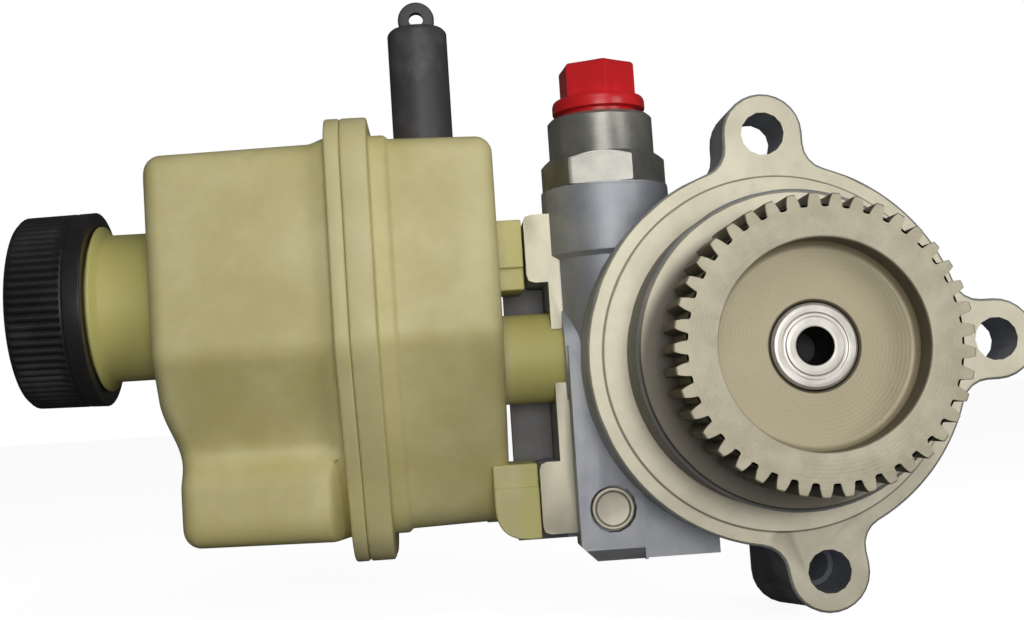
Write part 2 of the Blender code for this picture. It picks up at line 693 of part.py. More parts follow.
def flange_outline():
    """The flange's circle with an ear at each angle, each side blended in by a fillet."""
    side = EAR_RADIUS + EAR_FILLET
    reach = FLANGE_RADIUS + EAR_FILLET
    along = math.sqrt(reach ** 2 - side ** 2)
    touch = math.atan2(side, along)
    ear = arc((along, -side), EAR_FILLET, math.pi - touch, math.pi / 2, 4)
    ear += arc((EAR_CIRCLE_RADIUS, 0), EAR_RADIUS, -math.pi / 2, math.pi / 2, 14)
    ear += arc((along, side), EAR_FILLET, -math.pi / 2, touch - math.pi, 4)
    angles = sorted(math.radians(-a) % (2 * math.pi) for a in EAR_ANGLES)
    outline = []
    for angle, following in zip(angles, angles[1:] + [angles[0] + 2 * math.pi]):
        outline += turned_by(ear, angle)
        start, end = angle + touch, following - touch
        steps = max(2, round((end - start) / (2 * math.pi) * FINE_COUNT))
        outline += arc((0, 0), FLANGE_RADIUS, start, end, steps)[1:-1]
    return outline


def housing_shell():
    """The casting's outside: flange, boss, cam housing, lower block, valve column and bracket."""
    body = prism("pump_body", flange_outline(), "Y", [
        (0, FLANGE_CHAMFER),
        (FLANGE_CHAMFER, 0),
        (FLANGE_THICKNESS, 0),
    ])
    inside = FLANGE_THICKNESS / 2
    nose = [
        (0, inside),
        (PILOT_RADIUS, inside),
        (PILOT_RADIUS, -PILOT_RISE),
        (BOSS_RADIUS, -PILOT_RISE),
        (BOSS_RADIUS, BOSS_CHAMFER - BOSS_LENGTH),
        (BOSS_RADIUS - BOSS_CHAMFER, -BOSS_LENGTH),
        (0, -BOSS_LENGTH),
    ]
    join(body, turned("nose", nose, "Y", count=FINE_COUNT))
    join(body, rod("drum", HOUSING_RADIUS, inside, HOUSING_END, "Y", count=FINE_COUNT))
    join(body, lower_block(), suction_boss(), valve_column(), bracket(), rear_lug())
    return body


def rear_lug():
    """The lug behind the third ear, which leans outwards towards its rear end."""
    x, z = ear_centre(EAR_ANGLES[2])
    levels = [
        (FLANGE_THICKNESS / 2, 0, 0),
        (REAR_LUG_END - REAR_LUG_CHAMFER, REAR_LUG_LEAN, 0),
        (REAR_LUG_END, REAR_LUG_LEAN, REAR_LUG_CHAMFER),
    ]
    rings = []
    for height, lean, inset in levels:
        radius = REAR_LUG_RADIUS - inset
        outline = arc((x - lean, z), radius, math.pi / 2, 3 * math.pi / 2, 12)
        outline += [(REAR_LUG_ROOT - HOUSING_RADIUS, z - radius),
                    (REAR_LUG_ROOT - HOUSING_RADIUS, z + radius)]
        rings.append([placed("Y", u, v, height) for u, v in outline])
    return stack("rear_lug", rings)


def block_outline(left):
    """The block's outline, from its upper right corner round its chamfered lower left one."""
    top = COLUMN_FOOT + EDGE_BREAK
    return [
        (top, BLOCK_RIGHT),
        (top, left),
        (BLOCK_BOTTOM + BLOCK_CORNER, left),
        (BLOCK_BOTTOM, left - BLOCK_CORNER),
        (BLOCK_BOTTOM, BLOCK_RIGHT),
    ]


def lower_block():
    """The squared corner below the column, with a chamfered edge and a stepped front."""
    front, middle = FLANGE_THICKNESS - TIP_BREAK, FLANGE_THICKNESS + BLOCK_DEPTH
    back = BRACKET_WEB_BACK - JOIN_DEPTH
    block = prism("block", block_outline(BLOCK_LEFT), "Y", [(front, 0), (middle, 0)])
    rear = block_outline(BLOCK_LEFT - BLOCK_REAR_INSET)
    join(block, prism("rear", rear, "Y", [(middle - OVERSHOOT, BLOCK_TUCK), (back, BLOCK_TUCK)]))
    low_front = FLANGE_THICKNESS + BLOCK_STEP_DEPTH
    cut(block, box("step", (BLOCK_BOTTOM - OVERSHOOT, 0, 0),
                   (COLUMN_FOOT - OVERSHOOT, low_front, BLOCK_STEP_AT)))
    edge = BLOCK_FRONT_CHAMFER
    wedge = [
        (BLOCK_BOTTOM - OVERSHOOT, FLANGE_THICKNESS + edge + OVERSHOOT),
        (BLOCK_BOTTOM - OVERSHOOT, FLANGE_THICKNESS - edge),
        (BLOCK_BOTTOM + 2 * edge, FLANGE_THICKNESS - edge),
    ]
    far = BLOCK_LEFT + OVERSHOOT
    cut(block, prism("bevel", wedge, "Z", [(BLOCK_STEP_AT + EDGE_BREAK, 0), (far, 0)]))
    return block


def suction_boss():
    """The round boss that holds the suction port."""
    radius = SUCTION_BORE_RADIUS + SUCTION_BOSS_WALL
    root, left = COLUMN_Z - SUCTION_BOSS_ROOT, BLOCK_LEFT + SUCTION_BOSS_RISE
    return rod("boss", radius, root, left, "Z", (SUCTION_X, SUCTION_Y))


def valve_column():
    """The round column of the flow valve, thicker at its upper end, with a web to the housing."""
    profile = [
        (0, COLUMN_FOOT),
        (COLUMN_LOWER_RADIUS - COLUMN_FILLET, COLUMN_FOOT),
        (COLUMN_LOWER_RADIUS, COLUMN_FOOT + COLUMN_FILLET),
        (COLUMN_LOWER_RADIUS, COLUMN_STEP - COLUMN_FILLET),
        (COLUMN_UPPER_RADIUS, COLUMN_STEP),
        (COLUMN_UPPER_RADIUS, COLUMN_TOP),
        (0, COLUMN_TOP),
    ]
    column = turned("column", profile, "X", (COLUMN_Y, COLUMN_Z))
    low = (COLUMN_FOOT - COLUMN_WEB_MARGIN, FLANGE_THICKNESS + COLUMN_WEB_SETBACK,
           BLOCK_RIGHT - COLUMN_WEB_ROOT)
    high = (COLUMN_STEP + COLUMN_WEB_REACH, HOUSING_END - COLUMN_WEB_REACH,
            COLUMN_Z + COLUMN_WEB_REACH)
    join(column, box("web", low, high))
    return column


def bracket():
    """Rail, two pads and the web behind them that carry the reservoir."""
    low_x, high_x = LOWER_PAD[0], UPPER_PAD[1]
    rail = box("rail", (low_x, BRACKET_FRONT, PAD_INNER), (high_x, BRACKET_WEB_BACK, RAIL_LEFT))
    web = box("web", (BRACKET_WEB_FOOT, BRACKET_WEB_FRONT, PAD_INNER),
              (high_x, BRACKET_WEB_BACK, WEB_LEFT))
    join(rail, web)
    inner = PAD_INNER + JOIN_DEPTH
    cuts = (PAD_ROUNDING,) * 4
    for low, high in (UPPER_PAD, LOWER_PAD):
        corners = ((low, inner), (high, inner), (high, PAD_LEFT), (low, PAD_LEFT))
        outline = rounded(corners, cuts, 2)
        join(rail, prism("pad", outline, "Y", [(BRACKET_FRONT, 0), (BRACKET_WEB_BACK - JOIN_DEPTH, 0)]))
    return rail


def bearing_pocket():
    """The bore for the bearing, the ring groove in front of it and the seal's seat behind."""
    pocket = BEARING_OUTER_RADIUS + SEAT_GAP
    groove = pocket + RING_GROOVE_DEPTH
    seal = SEAL_OUTER_RADIUS + SEAT_GAP
    bush = SHAFT_FRONT_JOURNAL_RADIUS + RUNNING_GAP + BUSH_WALL + SEAT_GAP
    groove_back = BEARING_FRONT - SEAT_GAP / 2
    groove_front = groove_back - RING_THICKNESS - SEAT_GAP
    return turned("pocket", [
        (0, -BOSS_LENGTH - OVERSHOOT),
        (pocket, -BOSS_LENGTH - OVERSHOOT),
        (pocket, groove_front),
        (groove, groove_front),
        (groove, groove_back),
        (pocket, groove_back),
        (pocket, BEARING_SEAT),
        (seal, BEARING_SEAT),
        (seal, SEAL_SEAT),
        (bush, SEAL_SEAT),
        (bush, CARTRIDGE_SEAT + OVERSHOOT),
        (0, CARTRIDGE_SEAT + OVERSHOOT),
    ], "Y", count=INNER_COUNT)


def make_pump_body():
    """The housing with every bore and hole."""
    body = housing_shell()
    cut(body, bearing_pocket())
    cut(body, rod("bore", CARTRIDGE_BORE_RADIUS, CARTRIDGE_SEAT, HOUSING_END + OVERSHOOT, "Y",
                  count=ROUND_COUNT))
    for degrees in EAR_ANGLES[:2]:
        cut(body, rod("hole", EAR_HOLE_RADIUS, -OVERSHOOT, FLANGE_THICKNESS + OVERSHOOT, "Y",
                      ear_centre(degrees), SMALL_COUNT))
    step = FLANGE_THICKNESS + EAR_HOLE_RADIUS - REAR_LUG_HOLE_RADIUS
    cut(body, turned("hole", [
        (0, -OVERSHOOT),
        (EAR_HOLE_RADIUS, -OVERSHOOT),
        (EAR_HOLE_RADIUS, FLANGE_THICKNESS),
        (REAR_LUG_HOLE_RADIUS, step),
        (REAR_LUG_HOLE_RADIUS, REAR_LUG_END + OVERSHOOT),
        (0, REAR_LUG_END + OVERSHOOT),
    ], "Y", ear_centre(EAR_ANGLES[2]), SMALL_COUNT))
    cut(body, *cover_bolt_bores(HOUSING_END - COVER_BOLT_DEPTH - SEAT_GAP, HOUSING_END + OVERSHOOT))
    for centre in dowel_centres():
        cut(body, rod("hole", DOWEL_RADIUS + SEAT_GAP, CARTRIDGE_SEAT - DOWEL_DEPTH,
                      CARTRIDGE_SEAT + OVERSHOOT, "Y", centre, TINY_COUNT))
    groove = COVER_SEAL_WIRE + SEAT_GAP
    cut(body, tube("groove", COVER_SEAL_RADIUS + groove, COVER_SEAL_RADIUS - groove,
                   HOUSING_END - 2 * COVER_SEAL_WIRE, HOUSING_END + OVERSHOOT, "Y"))
    column = (COLUMN_Y, COLUMN_Z)
    cut(body, turned("valve", [
        (0, VALVE_BORE_FLOOR),
        (VALVE_BORE_RADIUS, VALVE_BORE_FLOOR),
        (VALVE_BORE_RADIUS, SPIGOT_END - SEAT_GAP),
        (SPIGOT_BORE_RADIUS, SPIGOT_END - SEAT_GAP),
        (SPIGOT_BORE_RADIUS, union_seal_seat()),
        (union_seal_bore(), union_seal_seat()),
        (union_seal_bore(), COLUMN_TOP + OVERSHOOT),
        (0, COLUMN_TOP + OVERSHOOT),
    ], "X", column, INNER_COUNT))
    suction = (SUCTION_X, SUCTION_Y)
    cut(body, turned("port", [
        (0, CARTRIDGE_BORE_RADIUS - OVERSHOOT),
        (SUCTION_PASSAGE_RADIUS, CARTRIDGE_BORE_RADIUS - OVERSHOOT),
        (SUCTION_PASSAGE_RADIUS, SUCTION_PORT_FLOOR),
        (SUCTION_BORE_RADIUS, SUCTION_PORT_FLOOR),
        (SUCTION_BORE_RADIUS, RAIL_LEFT + OVERSHOOT),
        (0, RAIL_LEFT + OVERSHOOT),
    ], "Z", suction, INNER_COUNT))
    cut(body, rod("seat", PLUG_RADIUS + PLUG_GROOVE, 0, FLANGE_THICKNESS + PLUG_DEPTH, "Y",
                  (PLUG_X, PLUG_Z), SMALL_COUNT))
    for x in reservoir_bolt_xs():
        cut(body, rod("hole", RESERVOIR_BOLT_RADIUS + SEAT_GAP, BRACKET_WEB_BACK -
                      RESERVOIR_BOLT_DEPTH - SEAT_GAP, BRACKET_WEB_BACK + OVERSHOOT, "Y",
                      (x, RESERVOIR_BOLT_Z), TINY_COUNT))
    dress(body, CAST)


def union_seal_bore():
    """Radius of the counterbore that holds the union's rubber ring."""
    return SPIGOT_BORE_RADIUS + 2 * UNION_SEAL_WIRE + SEAT_GAP


def union_seal_seat():
    """Height of that counterbore's floor."""
    return COLUMN_TOP - 2 * UNION_SEAL_WIRE


def cover_bolt_centres():
    """The (x, z) of each cover bolt."""
    return [(COVER_BOLT_CIRCLE * math.cos(math.radians(a)), COVER_BOLT_CIRCLE *
             math.sin(math.radians(a))) for a in COVER_BOLT_ANGLES]


def cover_bolt_bores(low, high):
    """One cutter for each cover bolt's shank."""
    radius = COVER_BOLT_RADIUS + SEAT_GAP
    return [rod("hole", radius, low, high, "Y", centre, TINY_COUNT) for centre in cover_bolt_centres()]


def dowel_centres():
    """The (x, z) of the two dowels, on a line between the ports."""
    return [(DOWEL_CIRCLE_RADIUS, 0.0), (-DOWEL_CIRCLE_RADIUS, 0.0)]


def reservoir_bolt_xs():
    """The height of each reservoir bolt, in the middle of its pad."""
    return [(UPPER_PAD[0] + UPPER_PAD[1]) / 2, (LOWER_PAD[0] + LOWER_PAD[1]) / 2]


def make_rear_cover():
    """The cover that closes the cam housing, with a blind hub for the shaft's rear bush."""
    rim_end = COVER_START + COVER_RIM_THICKNESS
    hub_end = COVER_START + COVER_HUB_LENGTH
    bush = SHAFT_REAR_JOURNAL_RADIUS + RUNNING_GAP + BUSH_WALL + SEAT_GAP
    cover = turned("rear_cover", [
        (bush, COVER_START),
        (HOUSING_RADIUS, COVER_START),
        (HOUSING_RADIUS, rim_end - COVER_CHAMFER),
        (HOUSING_RADIUS - COVER_CHAMFER, rim_end),
        (COVER_HUB_RADIUS + COVER_HUB_FOOT, rim_end),
        (COVER_HUB_RADIUS, rim_end + COVER_HUB_FOOT),
        (COVER_HUB_RADIUS - COVER_HUB_DRAFT, hub_end - COVER_CHAMFER),
        (COVER_HUB_RADIUS - COVER_HUB_DRAFT - COVER_CHAMFER, hub_end),
        (0, hub_end),
        (0, REAR_BUSH_END + COVER_POCKET_DEPTH),
        (bush, REAR_BUSH_END + COVER_POCKET_DEPTH),
    ], "Y", count=32)
    cut(cover, *cover_bolt_bores(COVER_START - OVERSHOOT, rim_end + OVERSHOOT))


def make_bolt(name, centre, seat, radius, tip):
    """A flanged hexagon bolt along Y, its head behind the seat and its tip in front of it."""
    washer = seat + SEAT_GAP
    head = washer + BOLT_WASHER_THICKNESS
    bolt = turned(name, [
        (0, tip),
        (radius - SMALL_BREAK, tip),
        (radius, tip + SMALL_BREAK),
        (radius, washer),
        (BOLT_WASHER_RADIUS, washer),
        (BOLT_WASHER_RADIUS, washer + EDGE_BREAK),
        (BOLT_HEAD_FLATS / 2, head),
        (0, head),
    ], "Y", centre, TINY_COUNT, STEEL)
    levels = [(head - SMALL_BREAK, 0), (head + BOLT_HEAD_HEIGHT - EDGE_BREAK, 0),
              (head + BOLT_HEAD_HEIGHT, EDGE_BREAK)]
    join(bolt, prism("head", hexagon(BOLT_HEAD_FLATS, centre), "Y", levels))
    dress(bolt, STEEL)


def make_cover_bolts():
    seat = COVER_START + COVER_RIM_THICKNESS
    for number, centre in enumerate(cover_bolt_centres(), 1):
        make_bolt(f"cover_bolt_{number}", centre, seat, COVER_BOLT_RADIUS,
                  HOUSING_END - COVER_BOLT_DEPTH)


def make_reservoir_bolts():
    for number, x in enumerate(reservoir_bolt_xs(), 1):
        make_bolt(f"reservoir_bolt_{number}", (x, RESERVOIR_BOLT_Z), TONGUE_BACK,
                  RESERVOIR_BOLT_RADIUS, BRACKET_WEB_BACK - RESERVOIR_BOLT_DEPTH)


def make_drive_shaft():
    """The stepped shaft, with a tapped centre hole in its bright front end."""
    hole = SHAFT_HOLE_RADIUS
    turned("drive_shaft", [
        (hole, SHAFT_FRONT + SHAFT_CHAMFER),
        (hole + SHAFT_CHAMFER, SHAFT_FRONT),
        (SHAFT_FACE_RADIUS, SHAFT_FRONT),
        (SHAFT_FACE_RADIUS, SHAFT_FRONT + SHAFT_STEP_DEPTH),
        (SHAFT_GEAR_RADIUS - SHAFT_CHAMFER, SHAFT_FRONT + SHAFT_STEP_DEPTH),
        (SHAFT_GEAR_RADIUS, SHAFT_FRONT + SHAFT_STEP_DEPTH + SHAFT_CHAMFER),
        (SHAFT_GEAR_RADIUS, BEARING_FRONT - SEAT_GAP),
        (SHAFT_BEARING_RADIUS, BEARING_FRONT - SEAT_GAP),
        (SHAFT_BEARING_RADIUS, BEARING_BACK),
        (SHAFT_SEAL_RADIUS, BEARING_SEAT),
        (SHAFT_SEAL_RADIUS, SEAL_SEAT),
        (SHAFT_FRONT_JOURNAL_RADIUS, SEAL_SEAT + SHAFT_FRONT_STEP),
        (SHAFT_FRONT_JOURNAL_RADIUS, CAM_RING_START - 2 * SHAFT_STEP),
        (SHAFT_ROTOR_RADIUS, CAM_RING_START - SHAFT_STEP),
        (SHAFT_ROTOR_RADIUS, CAM_RING_END + SHAFT_STEP),
        (SHAFT_REAR_JOURNAL_RADIUS, CAM_RING_END + 2 * SHAFT_STEP),
        (SHAFT_REAR_JOURNAL_RADIUS, SHAFT_REAR_END - SHAFT_STEP),
        (SHAFT_REAR_JOURNAL_RADIUS - SHAFT_STEP, SHAFT_REAR_END),
        (0, SHAFT_REAR_END),
        (0, SHAFT_FRONT + SHAFT_HOLE_DEPTH + SHAFT_HOLE_TIP),
        (hole, SHAFT_FRONT + SHAFT_HOLE_DEPTH),
    ], "Y", count=INNER_COUNT, finish_values=BRIGHT_STEEL)


def involute(angle):
    """The involute function of a pressure angle in radians."""
    return math.tan(angle) - angle


def gear_outline():
    """Every tooth's root, involute flanks and tip, in order round the gear."""
    pitch = GEAR_MODULE * GEAR_TEETH / 2
    pressure = math.radians(GEAR_PRESSURE_ANGLE)
    base = pitch * math.cos(pressure)
    tip, root = pitch + GEAR_MODULE, pitch - 1.25 * GEAR_MODULE
    half = math.pi / (2 * GEAR_TEETH) + involute(pressure)
    flank = []
    for share in (0.0, 0.5, 1.0):
        radius = max(root, base * 1.0001) + share * (tip - max(root, base * 1.0001))
        flank.append((radius, half - involute(math.acos(base / radius))))
    flank[0] = (root, flank[0][1] + 0.2 * GEAR_MODULE / root)
    tooth = [(r, -a) for r, a in flank] + [(r, a) for r, a in reversed(flank)]
    outline = []
    for number in range(GEAR_TEETH):
        middle = 2 * math.pi * number / GEAR_TEETH
        outline += [(r * math.cos(middle + a), r * math.sin(middle + a)) for r, a in tooth]
    return outline


def make_drive_gear():
    """A spur gear with a deep dished front and a hub that reaches back to the bearing."""
    gear = prism("drive_gear", gear_outline(), "Y", [(GEAR_FRONT, 0), (-GEAR_STANDOFF, 0)], STEEL)
    hub_end = BEARING_FRONT - SEAT_GAP
    middle = (GEAR_FLOOR - GEAR_STANDOFF) / 2
    join(gear, turned("hub", [
        (0, middle),
        (GEAR_HUB_RADIUS, middle),
        (GEAR_HUB_RADIUS, hub_end - EDGE_BREAK),
        (GEAR_HUB_RADIUS - EDGE_BREAK, hub_end),
        (0, hub_end),
    ], "Y"))
    fillet = GEAR_RECESS_RADIUS - GEAR_RECESS_FLOOR_RADIUS
    mouth = GEAR_RECESS_RADIUS + GEAR_RECESS_EDGE
    recess = [(0, GEAR_FRONT - OVERSHOOT), (mouth, GEAR_FRONT - OVERSHOOT), (mouth, GEAR_FRONT),
              (GEAR_RECESS_RADIUS, GEAR_FRONT + GEAR_RECESS_EDGE)]
    centre = (GEAR_RECESS_FLOOR_RADIUS, GEAR_FLOOR - fillet)
    recess += arc(centre, fillet, 0, math.pi / 2, 3)
    recess += [(0, GEAR_FLOOR)]
    cut(gear, turned("recess", recess, "Y", count=FINE_COUNT))
    cut(gear, rod("bore", SHAFT_GEAR_RADIUS + SEAT_GAP, GEAR_FLOOR - OVERSHOOT,
                  hub_end + OVERSHOOT, "Y"))
    dress(gear, STEEL)


def race_groove(outwards):
    """The ball groove's section, from the bearing's front to its back."""
    radius = BALL_RADIUS + 2 * RUNNING_GAP
    shoulder = BALL_CIRCLE_RADIUS + outwards * RACE_SHOULDER_SHARE * BALL_RADIUS
    half = math.acos((shoulder - BALL_CIRCLE_RADIUS) * outwards / radius)
    points = []
    for k in range(5):
        angle = -half + 2 * half * k / 4
        points.append((BALL_CIRCLE_RADIUS + outwards * radius * math.cos(angle),
                       BEARING_MIDDLE + radius * math.sin(angle)))
    return [(shoulder, BEARING_FRONT)] + points + [(shoulder, BEARING_BACK)]


def make_bearing():
    """Deep groove ball bearing: two races, the balls and a crown cage behind them."""
    outer = [(BEARING_OUTER_RADIUS, BEARING_FRONT)] + race_groove(1)
    outer += [(BEARING_OUTER_RADIUS, BEARING_BACK)]
    turned("bearing_outer_race", outer, "Y", count=INNER_COUNT, finish_values=BRIGHT_STEEL)
    inner = [(BEARING_BORE_RADIUS, BEARING_FRONT)] + race_groove(-1)
    inner += [(BEARING_BORE_RADIUS, BEARING_BACK)]
    turned("bearing_inner_race", inner, "Y", count=INNER_COUNT, finish_values=BRIGHT_STEEL)
    cage = tube("bearing_cage", BALL_CIRCLE_RADIUS + BALL_RADIUS / 2,
                BALL_CIRCLE_RADIUS - BALL_RADIUS / 2,
                BEARING_MIDDLE + CAGE_OFFSET, BEARING_BACK - CAGE_SETBACK, "Y")
    for number in range(BALL_COUNT):
        angle = 2 * math.pi * (number + 0.5) / BALL_COUNT
        centre = (BALL_CIRCLE_RADIUS * math.cos(angle), BALL_CIRCLE_RADIUS * math.sin(angle))
        cut(cage, ball("pocket", BALL_RADIUS + 2 * RUNNING_GAP, centre, 8))
        ball(f"bearing_ball_{number + 1}", BALL_RADIUS, centre, 8)
    dress(cage, BRONZE)


def ball(name, radius, centre, count):
    """A ball in the bearing's middle plane."""
    section = arc((0, BEARING_MIDDLE), radius, -math.pi / 2, math.pi / 2, 4)
    section[0], section[-1] = (0, BEARING_MIDDLE - radius), (0, BEARING_MIDDLE + radius)
    return turned(name, section, "Y", centre, count, BRIGHT_STEEL)


def make_snap_ring():
    """The open ring that holds the bearing in the boss."""
    outer = BEARING_OUTER_RADIUS + RING_GROOVE_DEPTH
    inner = outer - RING_WIDTH
    half = math.radians(RING_OPENING / 2)
    outline = arc((0, 0), outer, half, 2 * math.pi - half, INNER_COUNT)
    outline += arc((0, 0), inner, 2 * math.pi - half, half, INNER_COUNT)
    back = BEARING_FRONT - SEAT_GAP
    prism("snap_ring", outline, "Y", [(back - RING_THICKNESS, 0), (back, 0)], STEEL)


def make_shaft_seal():
    """A lip seal: an outer sleeve, a wall and a lip that leans along the shaft."""
    lip = SHAFT_SEAL_RADIUS + SEAT_GAP
    back = SEAL_FRONT + SEAL_WIDTH
    turned("shaft_seal", [
        (lip + SEAL_MOUTH, SEAL_FRONT),
        (SEAL_OUTER_RADIUS, SEAL_FRONT),
        (SEAL_OUTER_RADIUS, back),
        (SEAL_OUTER_RADIUS - SEAL_CASE_WALL, back),
        (SEAL_OUTER_RADIUS - SEAL_CASE_WALL, SEAL_FRONT + SEAL_MOUTH),
        (lip + SEAL_LIP_ROOT, SEAL_FRONT + SEAL_MOUTH),
        (lip + SEAL_LIP_THICKNESS, back - SEAL_MOUTH),
        (lip, back - SEAL_LIP_ROOT),
        (lip + EDGE_BREAK, SEAL_FRONT + SEAL_LIP_THICKNESS),
    ], "Y", count=INNER_COUNT, finish_values=RUBBER)


def plate(name, start, thickness, shaft_radius):
    """A side plate with a hole for the shaft, two dowel holes and two kidney ports."""
    end = start + thickness
    disc = tube(name, CARTRIDGE_RADIUS, shaft_radius + PLATE_CLEARANCE, start, end, "Y")
    low, high = start - OVERSHOOT, end + OVERSHOOT
    for centre in dowel_centres():
        cut(disc, rod("hole", DOWEL_RADIUS + SEAT_GAP, low, high, "Y", centre, TINY_COUNT))
    half = math.radians(KIDNEY_ANGLE / 2)
    inner, outer = KIDNEY_RADIUS - KIDNEY_WIDTH / 2, KIDNEY_RADIUS + KIDNEY_WIDTH / 2
    for middle in (math.pi / 2, -math.pi / 2):
        outline = arc((0, 0), outer, middle - half, middle + half, 6)
        outline += arc((0, 0), inner, middle + half, middle - half, 6)
        cut(disc, prism("port", outline, "Y", [(low, 0), (high, 0)]))
    dress(disc, BRIGHT_STEEL)


def cam_outline():
    """The cam ring's inside: a circle with two opposite lobes."""
    points = []
    for k in range(32):
        angle = 2 * math.pi * k / 32
        radius = CAM_RING_SMALL_RADIUS + CAM_RING_LIFT * math.sin(angle) ** 2
        points.append((radius * math.cos(angle), radius * math.sin(angle)))
    return points


def make_cartridge():
    """Side plates, cam ring, rotor, vanes and dowels, in one bore."""
    plate("front_side_plate", FRONT_PLATE_START, FRONT_PLATE_THICKNESS, SHAFT_FRONT_JOURNAL_RADIUS)
    plate("rear_side_plate", REAR_PLATE_START, REAR_PLATE_THICKNESS, SHAFT_ROTOR_RADIUS)
    outside, inside = circle(CARTRIDGE_RADIUS, 32), cam_outline()
    sides = [(outside, CAM_RING_START), (outside, CAM_RING_END),
             (inside, CAM_RING_END), (inside, CAM_RING_START)]
    ring = stack("cam_ring", [[placed("Y", u, v, height) for u, v in outline]
                              for outline, height in sides], STEEL, hollow=True)
    low, high = CAM_RING_START - OVERSHOOT, CAM_RING_END + OVERSHOOT
    for centre in dowel_centres():
        cut(ring, rod("hole", DOWEL_RADIUS + SEAT_GAP, low, high, "Y", centre, TINY_COUNT))
    dress(ring, STEEL)
    for number, centre in enumerate(dowel_centres(), 1):
        rod(f"dowel_pin_{number}", DOWEL_RADIUS, CARTRIDGE_SEAT - DOWEL_DEPTH + SMALL_BREAK,
            REAR_PLATE_END - SMALL_BREAK, "Y", centre, TINY_COUNT, BRIGHT_STEEL)
    make_rotor_and_vanes()


def make_rotor_and_vanes():
    """The slotted rotor on the shaft, and a vane drawn into each slot."""
    start, end = CAM_RING_START + ROTOR_SIDE_GAP, CAM_RING_END - ROTOR_SIDE_GAP
    slot = VANE_THICKNESS / 2 + VANE_GAP
    floor = VANE_TIP_RADIUS - VANE_LENGTH - SEAT_GAP
    mouth = math.asin(slot / ROTOR_RADIUS)
    spacing = 2 * math.pi / VANE_COUNT
    pocket = [(floor, -slot), (floor, slot)]
    outline = []
    for number in range(VANE_COUNT):
        angle = spacing * number
        outline += turned_by(pocket, angle)
        outline += arc((0, 0), ROTOR_RADIUS, angle + mouth, angle + spacing - mouth, 4)
    rotor = prism("rotor", outline, "Y", [(start, 0), (end, 0)], STEEL)
    cut(rotor, rod("bore", SHAFT_ROTOR_RADIUS + SEAT_GAP, start - OVERSHOOT, end + OVERSHOOT, "Y"))
    dress(rotor, STEEL)
    half = VANE_THICKNESS / 2
    low, high = VANE_TIP_RADIUS - VANE_LENGTH, VANE_TIP_RADIUS
    side = high - VANE_TIP_DROP
    section = [(low, -half), (side, -half), (high, 0), (side, half), (low, half)]
    for number in range(VANE_COUNT):
        blade = turned_by(section, spacing * number)
        prism(f"vane_{number + 1}", blade, "Y", [(start, 0), (end, 0)], BRIGHT_STEEL)


def make_bushes():
    """Plain bronze bushes at both ends of the pumping group."""
    inner = SHAFT_FRONT_JOURNAL_RADIUS + RUNNING_GAP
    tube("front_bush", inner + BUSH_WALL, inner, FRONT_BUSH_START, FRONT_BUSH_END, "Y",
         finish_values=BRONZE)
    inner = SHAFT_REAR_JOURNAL_RADIUS + RUNNING_GAP
    tube("rear_bush", inner + BUSH_WALL, inner, REAR_BUSH_START, REAR_BUSH_END, "Y",
         finish_values=BRONZE)


def make_valve():
    """The flow valve: a grooved spool under the union and the spring that lifts it."""
    centre = (COLUMN_Y, COLUMN_Z)
    radius = VALVE_BORE_RADIUS - SPOOL_CLEARANCE
    neck = radius - SPOOL_GROOVE_DEPTH
    third = SPOOL_LENGTH / 3
    turned("valve_spool", [
        (0, SPOOL_FOOT + SPOOL_RECESS_DEPTH),
        (SPOOL_RECESS_RADIUS, SPOOL_FOOT + SPOOL_RECESS_DEPTH),
        (SPOOL_RECESS_RADIUS, SPOOL_FOOT),
        (radius, SPOOL_FOOT),
        (radius, SPOOL_FOOT + third),
        (neck, SPOOL_FOOT + third),
        (neck, SPOOL_TOP - third),
        (radius, SPOOL_TOP - third),
        (radius, SPOOL_TOP - SMALL_BREAK),
        (radius - SMALL_BREAK, SPOOL_TOP),
        (0, SPOOL_TOP),
    ], "X", centre, INNER_COUNT, BRIGHT_STEEL)
    make_spring(centre)


def make_spring(centre):
    """A coil spring whose wire follows a helix between the bore's floor and the spool."""
    wire = SPRING_WIRE_RADIUS
    low = VALVE_BORE_FLOOR + SEAT_GAP + wire
    high = SPOOL_FOOT + SPOOL_RECESS_DEPTH - SEAT_GAP - wire
    steps = int(SPRING_TURNS * 10)
    slope = (high - low) / (2 * math.pi * SPRING_TURNS)
    lean = math.hypot(SPRING_RADIUS, slope)
    rings = []
    for k in range(steps + 1):
        angle = 2 * math.pi * SPRING_TURNS * k / steps
        height = low + (high - low) * k / steps
        c, s = math.cos(angle), math.sin(angle)
        ring = []
        for a, b in circle(wire, 5):
            out = SPRING_RADIUS + a
            along, rise = -b * slope / lean, b * SPRING_RADIUS / lean
            ring.append((height + rise, centre[0] + out * c - along * s,
                         centre[1] + out * s + along * c))
        rings.append(ring)
    stack("valve_spring", rings, STEEL)


